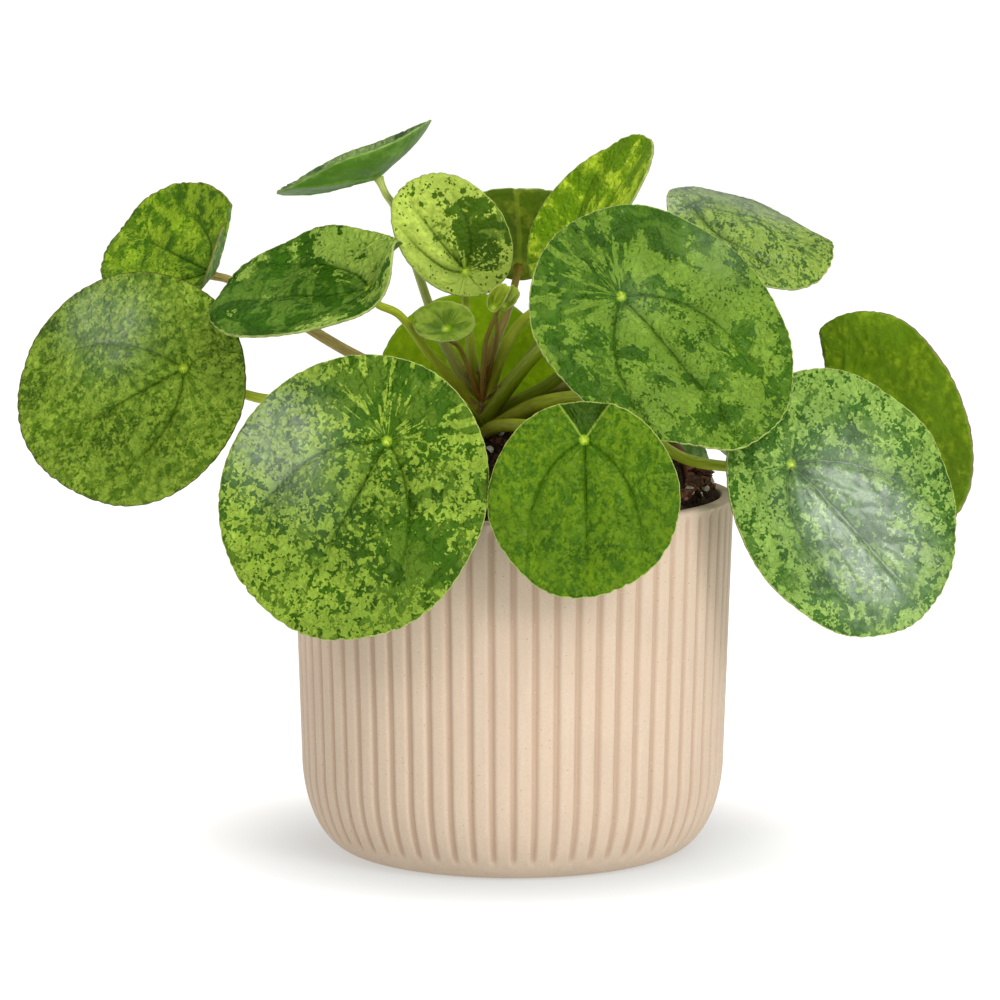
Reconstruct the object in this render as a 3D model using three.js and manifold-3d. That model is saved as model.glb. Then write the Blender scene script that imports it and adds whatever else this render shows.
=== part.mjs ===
// A potted pilea: a round-leaved house plant in its nursery pot, set in a ribbed stoneware cover pot.
// Millimetres, +Z up. The origin is the centre of the cover pot's foot, and the front is -Y.

import * as THREE from 'three';
import { mergeVertices } from 'three/addons/utils/BufferGeometryUtils.js';
import Module from 'manifold-3d';

// Driving dimensions -------------------------------------------------------------------------

const GAP = 0.3; // left between pieces that rest on each other

const COVER = {
  height: 114,
  rimRadius: 70.2,
  shoulderRadius: 67.5, // where the rounded foot meets the straight wall
  cornerHeight: 30,
  footRadius: 51,
  wall: 4.2,
  floor: 6,
  lip: 1.6, // plain band above the ribs
  plainFoot: 5, // plain band below the ribs
  ribs: 64,
  ribDepth: 0.9,
};

const NURSERY = {
  base: [0, 26, 18], // centre of its underside
  lean: 18, // degrees towards the front
  height: 108.6,
  rimRadius: 58,
  baseRadius: 38,
  wall: 1.5,
  band: 5, // height of the thicker rim band
  bandProud: 1.2,
  segments: 36,
};

const SOIL = { belowRim: 2, mound: 6, moundSpread: 19 };

const FILLER = { atWall: 111, rise: 5, segments: 40 };

const STEM = {
  at: [-10, 15],
  bottom: 127,
  top: 150,
  radius: 4,
  taper: 0.25, // share of the radius lost from bottom to top
  knots: 4,
  knotProud: 0.6,
  segments: 14,
};

const BLADE = { thickness: 1, segments: 24, rings: [0.42, 0.76, 1] };

const PETIOLE = { radius: 1.3, sides: 6, steps: 9, rootRun: 3, rootRise: 3.5, topRun: 6, seat: 0.45 };

// One entry per leaf.
//   hub      where the petiole joins the blade
//   face     which way the blade looks: azimuth (0 = front, 90 = right), elevation
//   tip      which way the tip points in the blade's plane: 0 = down the slope, 90 = to the right
//   length, width, back    the oval, and the share of its length behind the hub
//   side     how far the oval's middle lies to the hub's side, as a share of the width
//   egg      how much wider the tip end is than the back end, as a share
//   cup      how far both side edges rise above the plane at the hub; bow the tip, heel the back edge
//   fold     how far the sides rise as a straight-sided V
//   bends    stretches rolled up (or down, radius < 0) past a line: [direction, start, radius, degrees]
//   root     where the petiole leaves the stem: azimuth, height
//   via      points that the petiole passes
const LEAVES = {
  far_left: {
    hub: [-105, 6, 153], face: [-12, 12], tip: -57, length: 78, width: 73, back: 0.27, side: -0.05,
    cup: -3, bow: -5, root: [-95, 138], via: [[-45, 10, 142], [-81, 9, 143]],
  },
  upper_left: {
    hub: [-98, 30, 182], face: [-41, 42], tip: -105, length: 57, width: 47, back: 0.16, side: -0.02,
    cup: 6, bow: 3, root: [-122, 141], via: [[-54, 24, 157], [-91, 30, 179]],
  },
  mid_left: {
    hub: [-45, -14, 180], face: [-38, 53], tip: -70, length: 67, width: 53, back: 0.22,
    cup: 6, bow: 1, heel: 4, root: [-62, 143], via: [[-20, 9, 150], [-26, 4, 157], [-36, -4, 171]],
  },
  top_left: {
    hub: [-43, 10, 214], face: [-90, 66], tip: 0, length: 54, width: 44, back: 0.42,
    cup: 8, bow: 7, heel: 8, root: [-105, 146], via: [[-22, 19, 160], [-27, 22, 172], [-37, 18, 202]],
  },
  upper_middle: {
    hub: [-15, 4, 184], face: [6, 8], tip: -137, length: 44, width: 33, back: 0.24, side: -0.14,
    fold: 3, bow: 2, root: [-60, 147.5], via: [[-14, 7, 165]],
  },
  front_left: {
    hub: [-38, -80, 140], face: [-4, 12], tip: -29, length: 88, width: 79, back: 0.28,
    cup: -2, bow: -3, root: [-38, 137], via: [[-18, -14, 144], [-30, -48, 144]],
  },
  front_middle: {
    hub: [21, -85, 141], face: [0, 10], tip: 0, length: 59, width: 57, back: 0.2,
    cup: -1, bow: -2, root: [-6, 135], via: [[-4, -8, 136], [4, -24, 138], [16, -58, 139]],
  },
  upper_right: {
    hub: [33, -50, 181], face: [18, 30], tip: 50, length: 89, width: 75, back: 0.31, side: -0.03,
    egg: -0.1, bow: -3, root: [50, 139], via: [[5, -5, 156], [21, -30, 172]],
  },
  top_right: {
    hub: [20, 12, 188], face: [-61, 34], tip: 168, length: 60, width: 48, back: 0.26, side: 0.03,
    egg: -0.15, cup: 5, bow: 2, root: [62, 145], via: [[-2, 11.5, 160], [2.5, 12, 167]],
  },
  back_top: {
    hub: [2, 56, 181], face: [175, 20], tip: 180, length: 34, width: 46, back: 0.14, egg: 0.2,
    cup: 4, bow: -3, root: [165, 146], via: [[-6.5, 25, 157], [-2, 38, 167]],
  },
  far_upper_right: {
    hub: [57, 22, 204], face: [22, 61], tip: 65, length: 57, width: 51, back: 0.14,
    fold: -10, bow: -8, root: [76, 141], via: [[12.5, 11, 148], [40, 17, 175]],
  },
  far_right: {
    hub: [107, 20, 143], face: [152, 12], tip: 5, length: 80, width: 71, back: 0.36, side: -0.14,
    egg: 0.12, cup: -3, bow: -4, bends: [[80, 5, 4, 84]],
    root: [90, 136], via: [[12, 16, 140], [52, 2, 131]],
  },
  front_right: {
    hub: [86, -40, 128], face: [14, 16], tip: 26, length: 88, width: 69, back: 0.29, side: 0.11,
    egg: -0.05, cup: 2, bow: -3, root: [30, 135], via: [[10, -8, 143.5], [27, -14, 145], [54, -28, 128]],
  },
  back_middle: {
    hub: [-15, 66, 145], face: [180, 15], tip: 0, length: 66, width: 60, back: 0.42,
    cup: -2, bow: -2, root: [180, 141], via: [[-12, 40, 144]],
  },
  young_left: {
    hub: [-21, -10, 167], face: [-10, 40], tip: -95, length: 20, width: 15, back: 0.45, side: -0.12,
    cup: 1, bow: 1, root: [-20, 146], via: [[-17, 2, 160]],
  },
  young_middle: {
    hub: [-6, -2, 173], face: [-20, 20], tip: 155, length: 10, width: 8, back: 0.15,
    cup: 1, bow: 0, root: [12, 144], via: [[-8.5, 3.5, 162]],
  },
  young_right: {
    hub: [-3, 5, 173], face: [40, 30], tip: 130, length: 12, width: 7, back: 0.2,
    cup: 1, bow: 0, root: [30, 148], via: [[-5, 8, 164]],
  },
  rear_top: {
    hub: [34, 64, 193], face: [165, 50], tip: 0, length: 46, width: 42, back: 0.28,
    cup: 2, bow: -3, root: [135, 143], via: [[5, 31, 153], [26, 54, 182]],
  },
  rear_left: {
    hub: [-60, 70, 116], face: [-135, 20], tip: 0, length: 70, width: 62, back: 0.26,
    cup: -2, bow: -3, root: [-142, 138], via: [[-30, 40, 143], [-48, 58, 134]],
  },
  rear_right: {
    hub: [38, 84, 118], face: [160, 15], tip: 0, length: 78, width: 70, back: 0.26,
    cup: -2, bow: -3, root: [130, 138], via: [[10, 24, 141], [30, 42, 142], [38, 66, 132]],
  },
  rear_side: {
    hub: [68, 60, 134], face: [115, 45], tip: 0, length: 60, width: 56, back: 0.28,
    cup: -2, bow: -3, root: [114, 140], via: [[14, 24, 145], [48, 47, 145]],
  },
};

// Materials ----------------------------------------------------------------------------------

const finish = (color, roughness) => new THREE.MeshStandardMaterial({ color, roughness, metalness: 0 });

const materials = {
  stoneware: finish('#cdb08d', 0.75),
  terracottaPlastic: finish('#7d4a35', 0.55),
  soil: finish('#2e221b', 0.95),
  filler: finish('#3a2b21', 0.95),
  stem: finish('#6f6a3c', 0.7),
  petiole: finish('#a3ad52', 0.45),
  leaf: finish('#4f8a2e', 0.35),
};

// Small helpers ------------------------------------------------------------------------------

const wasm = await Module();
wasm.setup();

const radians = THREE.MathUtils.degToRad;

// A solid of revolution about Z. The profile runs (radius, z) up the outside, from axis to axis.
function turned(profile, segments) {
  const points = profile.map(([radius, z]) => new THREE.Vector2(radius, z));
  return new THREE.LatheGeometry(points, segments).rotateX(Math.PI / 2);
}

function toManifold(geometry) {
  const bare = new THREE.BufferGeometry().setAttribute('position', geometry.getAttribute('position'));
  bare.setIndex(geometry.index);
  const merged = mergeVertices(bare, 1e-3);
  return new wasm.Manifold(new wasm.Mesh({
    numProp: 3,
    vertProperties: merged.getAttribute('position').array,
    triVerts: new Uint32Array(merged.index.array),
  }));
}

function fromManifold(solid) {
  const mesh = solid.getMesh();
  return new THREE.BufferGeometry()
    .setAttribute('position', new THREE.BufferAttribute(mesh.vertProperties, 3))
    .setIndex(new THREE.BufferAttribute(mesh.triVerts, 1));
}

function named(name, geometry, material) {
  const mesh = new THREE.Mesh(geometry, material);
  mesh.name = name;
  return mesh;
}

// Cover pot ----------------------------------------------------------------------------------

// Points of a quarter ellipse from (radius in, z low) to (radius out, z high).
function corner(inner, outer, low, high, steps) {
  return Array.from({ length: steps + 1 }, (_, i) => {
    const angle = (i / steps) * Math.PI / 2;
    return [inner + (outer - inner) * Math.sin(angle), high - (high - low) * Math.cos(angle)];
  });
}

function coverOutside() {
  const { footRadius, shoulderRadius, rimRadius, cornerHeight, height, lip } = COVER;
  return [
    [0, 0],
    ...corner(footRadius, shoulderRadius, 0, cornerHeight, 5),
    [rimRadius, height - lip],
    [rimRadius, height],
  ];
}

// The inside of the cover pot from the lip down to the floor, taken in by `inset`.
function coverInside(inset = 0) {
  const { footRadius, shoulderRadius, rimRadius, cornerHeight, height, floor, wall } = COVER;
  return [
    [rimRadius - wall - inset, height],
    ...corner(footRadius - wall, shoulderRadius - wall - inset, floor + inset, cornerHeight, 4).reverse(),
    [0, floor + inset],
  ];
}

function coverPot() {
  const { ribs, ribDepth, plainFoot, height, lip } = COVER;
  const geometry = turned([...coverOutside(), ...coverInside()], 2 * ribs);
  const position = geometry.getAttribute('position');
  const perColumn = coverOutside().length + coverInside().length;
  const outsideCount = coverOutside().length;
  for (let i = 0; i < position.count; i++) {
    const column = Math.floor(i / perColumn);
    const z = position.getZ(i);
    const onRibs = i % perColumn < outsideCount && z > plainFoot && z < height - lip / 2;
    if (column % 2 === 0 || !onRibs) continue;
    const radius = Math.hypot(position.getX(i), position.getY(i));
    const shrink = (radius - ribDepth) / radius;
    position.setX(i, position.getX(i) * shrink);
    position.setY(i, position.getY(i) * shrink);
  }
  return named('cover_pot', geometry, materials.stoneware);
}

// Nursery pot, soil and filler ---------------------------------------------------------------

// Puts a geometry that is built upright into the leaning nursery pot's frame.
function leaned(geometry) {
  return geometry.rotateX(radians(NURSERY.lean)).translate(...NURSERY.base);
}

function nurseryPot() {
  const { height, rimRadius, baseRadius, wall, band, bandProud } = NURSERY;
  const atBand = rimRadius - bandProud;
  const profile = [
    [0, 0], [baseRadius, 0], [atBand, height - band], [rimRadius, height - band], [rimRadius, height],
    [atBand - wall, height], [baseRadius - wall, wall], [0, wall],
  ];
  return named('nursery_pot', leaned(turned(profile, NURSERY.segments)), materials.terracottaPlastic);
}

// Everything that the nursery pot takes up, grown by the gap and carried on far above its rim.
function nurseryEnvelope() {
  const { height, rimRadius, baseRadius, band, bandProud } = NURSERY;
  const atBand = rimRadius - bandProud + GAP;
  const outer = rimRadius + GAP;
  const above = height + 60; // clear of anything in the cover pot
  const profile = [
    [0, -GAP], [baseRadius + GAP, -GAP], [atBand, height - band - GAP], [outer, height - band - GAP],
    [outer, above], [0, above],
  ];
  return toManifold(leaned(turned(profile, NURSERY.segments)));
}

// The stem's place in the nursery pot's own frame.
function stemInNursery() {
  const [x, y] = STEM.at;
  const point = new THREE.Vector3(x, y, STEM.bottom).sub(new THREE.Vector3(...NURSERY.base));
  return point.applyAxisAngle(new THREE.Vector3(1, 0, 0), -radians(NURSERY.lean));
}

function pottingSoil() {
  const { height, rimRadius, baseRadius, wall, bandProud } = NURSERY;
  const { belowRim, mound, moundSpread } = SOIL;
  const top = height - belowRim;
  const floor = wall + GAP;
  const topRadius = rimRadius - bandProud - wall - GAP - belowRim * (rimRadius - baseRadius) / height;
  const profile = [[0, floor], [baseRadius - wall - GAP, floor], [topRadius, top]];
  for (const share of [0.8, 0.6, 0.4, 0.2, 0]) profile.push([topRadius * share, top]);
  const geometry = turned(profile, NURSERY.segments);
  const position = geometry.getAttribute('position');
  const stem = stemInNursery();
  for (let i = 0; i < position.count; i++) {
    if (position.getZ(i) < top - 1) continue;
    const away = Math.hypot(position.getX(i) - stem.x, position.getY(i) - stem.y) / moundSpread;
    position.setZ(i, top + mound * Math.exp(-away * away));
  }
  const hole = toManifold(stemGeometry(1.35 * GAP)); // the stem's knots slope
  const solid = toManifold(leaned(geometry)).subtract(hole);
  return named('potting_soil', fromManifold(solid), materials.soil);
}

function fillerSoil() {
  const { atWall, rise, segments } = FILLER;
  const inside = coverInside(GAP).reverse();
  inside.pop();
  const wallRadius = COVER.rimRadius - COVER.wall - 2 * GAP;
  const profile = [...inside, [wallRadius, atWall], [wallRadius * 0.75, atWall + rise], [0, atWall + rise]];
  const solid = toManifold(turned(profile, segments)).subtract(nurseryEnvelope());
  return named('filler_soil', fromManifold(solid), materials.filler);
}

// Plant --------------------------------------------------------------------------------------

// The stem's radius at a height, over its knots.
function stemRadius(height) {
  const { bottom, top, radius, taper, knotProud } = STEM;
  return radius * (1 - taper * (height - bottom) / (top - bottom)) + knotProud;
}

function stemGeometry(grow = 0) {
  const { at, bottom, top, knots, knotProud, segments } = STEM;
  const rings = 2 * knots + 1;
  const profile = [[0, bottom - grow]];
  for (let i = 0; i < rings; i++) {
    const z = bottom + (top - 1 - bottom) * i / (rings - 1);
    const hollow = i % 2 === 0 ? knotProud : 0;
    profile.push([stemRadius(z) - hollow + grow, z - (i === 0 ? grow : 0)]);
  }
  profile.push([0, top + grow]);
  return turned(profile, segments).translate(...at, 0);
}

// The blade's own axes in the world: t towards the tip, s to its side, n out of its upper face.
function bladeAxes({ face, tip }) {
  const [azimuth, elevation] = face.map(radians);
  const roll = radians(tip);
  const n = new THREE.Vector3(
    Math.sin(azimuth) * Math.cos(elevation), -Math.cos(azimuth) * Math.cos(elevation), Math.sin(elevation));
  const down = new THREE.Vector3(
    Math.sin(azimuth) * Math.sin(elevation), -Math.cos(azimuth) * Math.sin(elevation), -Math.cos(elevation));
  const right = new THREE.Vector3().crossVectors(n, down);
  const t = down.multiplyScalar(Math.cos(roll)).addScaledVector(right, Math.sin(roll));
  const s = new THREE.Vector3().crossVectors(n, t);
  return { t, s, n };
}

// Where a point of the flat oval goes: u towards the tip, v to the side, both from the hub.
function bladeSurface(leaf, u, v) {
  const { length, width, back, cup = 0, bow = 0, heel = 0, fold = 0, bends = [] } = leaf;
  const across = v / (width / 2);
  const along = u > 0 ? u / (length * (1 - back)) : u / (length * back);
  const rise = u > 0 ? bow : heel;
  let lift = cup * across * across + rise * along * along + fold * (Math.hypot(across, 0.15) - 0.15);
  for (const [direction, start, radius, most] of bends) {
    const [du, dv] = [Math.cos(radians(direction)), Math.sin(radians(direction))];
    const past = u * du + v * dv - start;
    if (past <= 0) continue;
    const size = Math.abs(radius);
    const angle = Math.min(past / size, radians(most));
    const straight = past - size * angle;
    const sign = Math.sign(radius);
    const ahead = size * Math.sin(angle) + straight * Math.cos(angle) - sign * lift * Math.sin(angle) - past;
    const up = size * (1 - Math.cos(angle)) + straight * Math.sin(angle);
    u += du * ahead;
    v += dv * ahead;
    lift = lift * Math.cos(angle) + sign * up;
  }
  return new THREE.Vector3(u, v, lift);
}

// A thin disc whose upper and lower faces follow the blade's surface.
function bladeGeometry(leaf) {
  const { thickness, segments, rings } = BLADE;
  const shares = [0, ...rings, ...[...rings].reverse(), 0];
  const half = shares.length / 2;
  const geometry = turned(shares.map((share, j) => [share, j < half ? 0 : 1]), segments);
  const position = geometry.getAttribute('position');
  const { side = 0, egg = 0 } = leaf;
  const { t, s, n } = bladeAxes(leaf);
  const place = new THREE.Matrix4().makeBasis(t, s, n).setPosition(...leaf.hub);
  const step = 0.5;
  for (let i = 0; i < position.count; i++) {
    const column = Math.floor(i / shares.length) % segments;
    const row = i % shares.length;
    const angle = (column / segments) * 2 * Math.PI;
    const u = shares[row] * leaf.length * (0.5 - leaf.back + Math.cos(angle) / 2);
    const spread = Math.sin(angle) * (1 + egg * Math.cos(angle)) / 2;
    const v = shares[row] * leaf.width * (side + spread);
    const point = bladeSurface(leaf, u, v);
    const alongU = bladeSurface(leaf, u + step, v).sub(bladeSurface(leaf, u - step, v));
    const alongV = bladeSurface(leaf, u, v + step).sub(bladeSurface(leaf, u, v - step));
    const normal = alongU.cross(alongV).normalize();
    point.addScaledVector(normal, (row < half ? -1 : 1) * thickness / 2).applyMatrix4(place);
    position.setXYZ(i, point.x, point.y, point.z);
  }
  return geometry;
}

function petioleGeometry(leaf) {
  const { radius, sides, steps, rootRun, rootRise, topRun } = PETIOLE;
  const [azimuth, height] = leaf.root;
  const out = new THREE.Vector3(Math.sin(radians(azimuth)), -Math.cos(radians(azimuth)), 0);
  const slant = radius * rootRise / Math.hypot(rootRun, rootRise); // how far the cut end leans inwards
  const root = new THREE.Vector3(...STEM.at, height).addScaledVector(out, stemRadius(height) + GAP + slant);
  const { n } = bladeAxes(leaf);
  const hub = new THREE.Vector3(...leaf.hub);
  const run = Math.min(topRun, leaf.length / 3);
  const points = [
    root,
    root.clone().addScaledVector(out, rootRun).add(new THREE.Vector3(0, 0, rootRise)),
    ...leaf.via.map((point) => new THREE.Vector3(...point)),
    hub.clone().addScaledVector(n, -run),
    hub.clone().addScaledVector(n, -(BLADE.thickness / 2 + PETIOLE.seat)),
  ];
  const section = new THREE.Shape().absarc(0, 0, radius, 0, 2 * Math.PI);
  return new THREE.ExtrudeGeometry(section, {
    steps, curveSegments: sides / 2, bevelEnabled: false, extrudePath: new THREE.CatmullRomCurve3(points),
  });
}

// Assembly -----------------------------------------------------------------------------------

const plant = new THREE.Group();
plant.add(named('main_stem', stemGeometry(), materials.stem));
for (const [name, leaf] of Object.entries(LEAVES)) {
  plant.add(named(`petiole_${name}`, petioleGeometry(leaf), materials.petiole));
  plant.add(named(`leaf_${name}`, bladeGeometry(leaf), materials.leaf));
}

const part = new THREE.Group();
part.add(coverPot(), nurseryPot(), pottingSoil(), fillerSoil(), plant);

export default part;
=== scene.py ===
import math
import random

import bmesh
import bpy
import numpy as np
from mathutils import Matrix, Vector, noise


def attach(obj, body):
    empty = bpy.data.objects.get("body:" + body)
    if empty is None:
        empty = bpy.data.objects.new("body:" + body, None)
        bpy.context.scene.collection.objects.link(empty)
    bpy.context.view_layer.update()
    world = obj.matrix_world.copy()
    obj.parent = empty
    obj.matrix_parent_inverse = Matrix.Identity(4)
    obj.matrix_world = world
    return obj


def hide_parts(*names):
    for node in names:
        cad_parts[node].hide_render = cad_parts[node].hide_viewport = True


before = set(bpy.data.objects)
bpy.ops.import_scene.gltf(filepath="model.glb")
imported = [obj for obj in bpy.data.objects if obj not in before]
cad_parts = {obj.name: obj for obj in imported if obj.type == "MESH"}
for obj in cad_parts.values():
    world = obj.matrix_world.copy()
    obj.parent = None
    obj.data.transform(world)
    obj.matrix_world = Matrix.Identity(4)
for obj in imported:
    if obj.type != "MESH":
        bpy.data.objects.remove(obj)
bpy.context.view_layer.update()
mm = 0.001  # the plant is laid out in millimetres, Blender works in metres

# Camera

view = {
    "place": (-4.1, -1400, 300),
    "target": (-4.1, 0, 111.4),
    "pictureWidth": 1000,  # pixels
    "focalLength": 4434,  # pixels
    "sensor": 36,
}


def makeCamera():
    data = bpy.data.cameras.new("camera")
    data.sensor_width = view["sensor"]
    data.lens = view["focalLength"] / view["pictureWidth"] * view["sensor"]
    camera = bpy.data.objects.new("camera", data)
    camera.location = Vector(view["place"]) * mm
    towards = Vector(view["target"]) - Vector(view["place"])
    camera.rotation_euler = towards.to_track_quat("-Z", "Y").to_euler()
    bpy.context.scene.collection.objects.link(camera)
    bpy.context.scene.camera = camera


makeCamera()
print("camera placed")

# Small helpers


def rgb(red, green, blue):
    def linear(value):
        value /= 255
        return value / 12.92 if value <= 0.04045 else ((value + 0.055) / 1.055) ** 2.4

    return (linear(red), linear(green), linear(blue), 1)


def shaded(colour, factor):
    return tuple(min(factor * value, 1) for value in colour[:3]) + (1,)


def node(tree, kind, inputs=None, **settings):
    made = tree.nodes.new("ShaderNode" + kind)
    for key, value in settings.items():
        setattr(made, key, value)
    for key, value in (inputs or {}).items():
        if isinstance(value, bpy.types.NodeSocket):
            tree.links.new(value, made.inputs[key])
        else:
            made.inputs[key].default_value = value
    return made


def maths(tree, operation, first, second=0.0, third=0.0):
    made = node(tree, "Math", {0: first, 1: second, 2: third}, operation=operation)
    return made.outputs[0]


def vectors(tree, operation, first, second=(0, 0, 0)):
    return node(tree, "VectorMath", {0: first, 1: second}, operation=operation).outputs["Vector"]


def blend(tree, share, first, second, way="MIX"):
    made = node(tree, "Mix", {0: share, 6: first, 7: second}, data_type="RGBA", blend_type=way)
    return made.outputs[2]


def step(tree, value, low, high):  # a smooth step from 0 at low to 1 at high
    made = node(tree, "MapRange", {"Value": value, "From Min": low, "From Max": high},
                interpolation_type="SMOOTHSTEP")
    return made.outputs["Result"]


def spread(tree, value, low, high):  # 0 to 1 spread over low to high
    return node(tree, "MapRange", {"Value": value, "To Min": low, "To Max": high}).outputs["Result"]


def noiseAt(tree, place, scale, detail=2.0, roughness=0.5, distortion=0.0, output="Fac"):
    made = node(tree, "TexNoise", {"Vector": place, "Scale": scale, "Detail": detail,
                                   "Roughness": roughness, "Distortion": distortion})
    return made.outputs[output]


def attribute(tree, name):
    return node(tree, "Attribute", attribute_name=name).outputs["Fac"]


def objectPlace(tree):  # in millimetres
    place = node(tree, "TexCoord").outputs["Object"]
    return node(tree, "VectorMath", {0: place, "Scale": 1 / mm}, operation="SCALE").outputs["Vector"]


def newMaterial(name, roughness, specular=0.5):
    material = bpy.data.materials.new(name)
    material.use_nodes = True
    tree = material.node_tree
    shader = tree.nodes["Principled BSDF"]
    shader.inputs["Roughness"].default_value = roughness
    shader.inputs["Specular IOR Level"].default_value = specular
    return material, tree, shader


def addBump(tree, shader, height, depth, strength=1.0):
    bump = node(tree, "Bump", {"Height": height, "Distance": depth * mm, "Strength": strength})
    tree.links.new(bump.outputs["Normal"], shader.inputs["Normal"])


def newPiece(name, vertices, faces, materials, smooth=True):
    mesh = bpy.data.meshes.new(name)
    mesh.from_pydata([(x * mm, y * mm, z * mm) for x, y, z in vertices], [], faces)
    for material in materials:
        mesh.materials.append(material)
    if smooth:
        mesh.shade_smooth()
    else:
        mesh.shade_flat()
    piece = bpy.data.objects.new(name, mesh)
    bpy.context.scene.collection.objects.link(piece)
    return piece


def gridFaces(rows, columns, loop=False):  # rows of closed rings; loop joins the last to the first
    faces = []
    for row in range(rows if loop else rows - 1):
        above = (row + 1) % rows
        for column in range(columns):
            after = (column + 1) % columns
            faces.append((row * columns + column, row * columns + after,
                          above * columns + after, above * columns + column))
    return faces


def closedFaces(rows, columns):  # the same, with one face across the first ring and one across the last
    first = tuple(reversed(range(columns)))
    last = tuple(range((rows - 1) * columns, rows * columns))
    return gridFaces(rows, columns) + [first, last]


def turnsOf(columns):  # the directions of a ring's columns, in radians
    return [column * 2 * math.pi / columns for column in range(columns)]


def setAttribute(mesh, name, values):
    layer = mesh.attributes.new(name, "FLOAT", "POINT")
    layer.data.foreach_set("value", np.asarray(values, dtype=np.float32))


def setUv(mesh, places):  # places holds one (u, v) for each vertex
    layer = mesh.uv_layers.new(name="flat")
    corners = np.empty(len(mesh.loops), dtype=np.int32)
    mesh.loops.foreach_get("vertex_index", corners)
    layer.data.foreach_set("uv", np.asarray(places, dtype=np.float32)[corners].ravel())


def finishPiece(piece, slot, *replaced):
    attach(piece, "root")
    if replaced:
        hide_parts(*replaced)


def smoothStep(low, high, value):
    share = np.clip((np.asarray(value, dtype=float) - low) / (high - low), 0, 1)
    return share * share * (3 - 2 * share)


# Leaves

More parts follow.
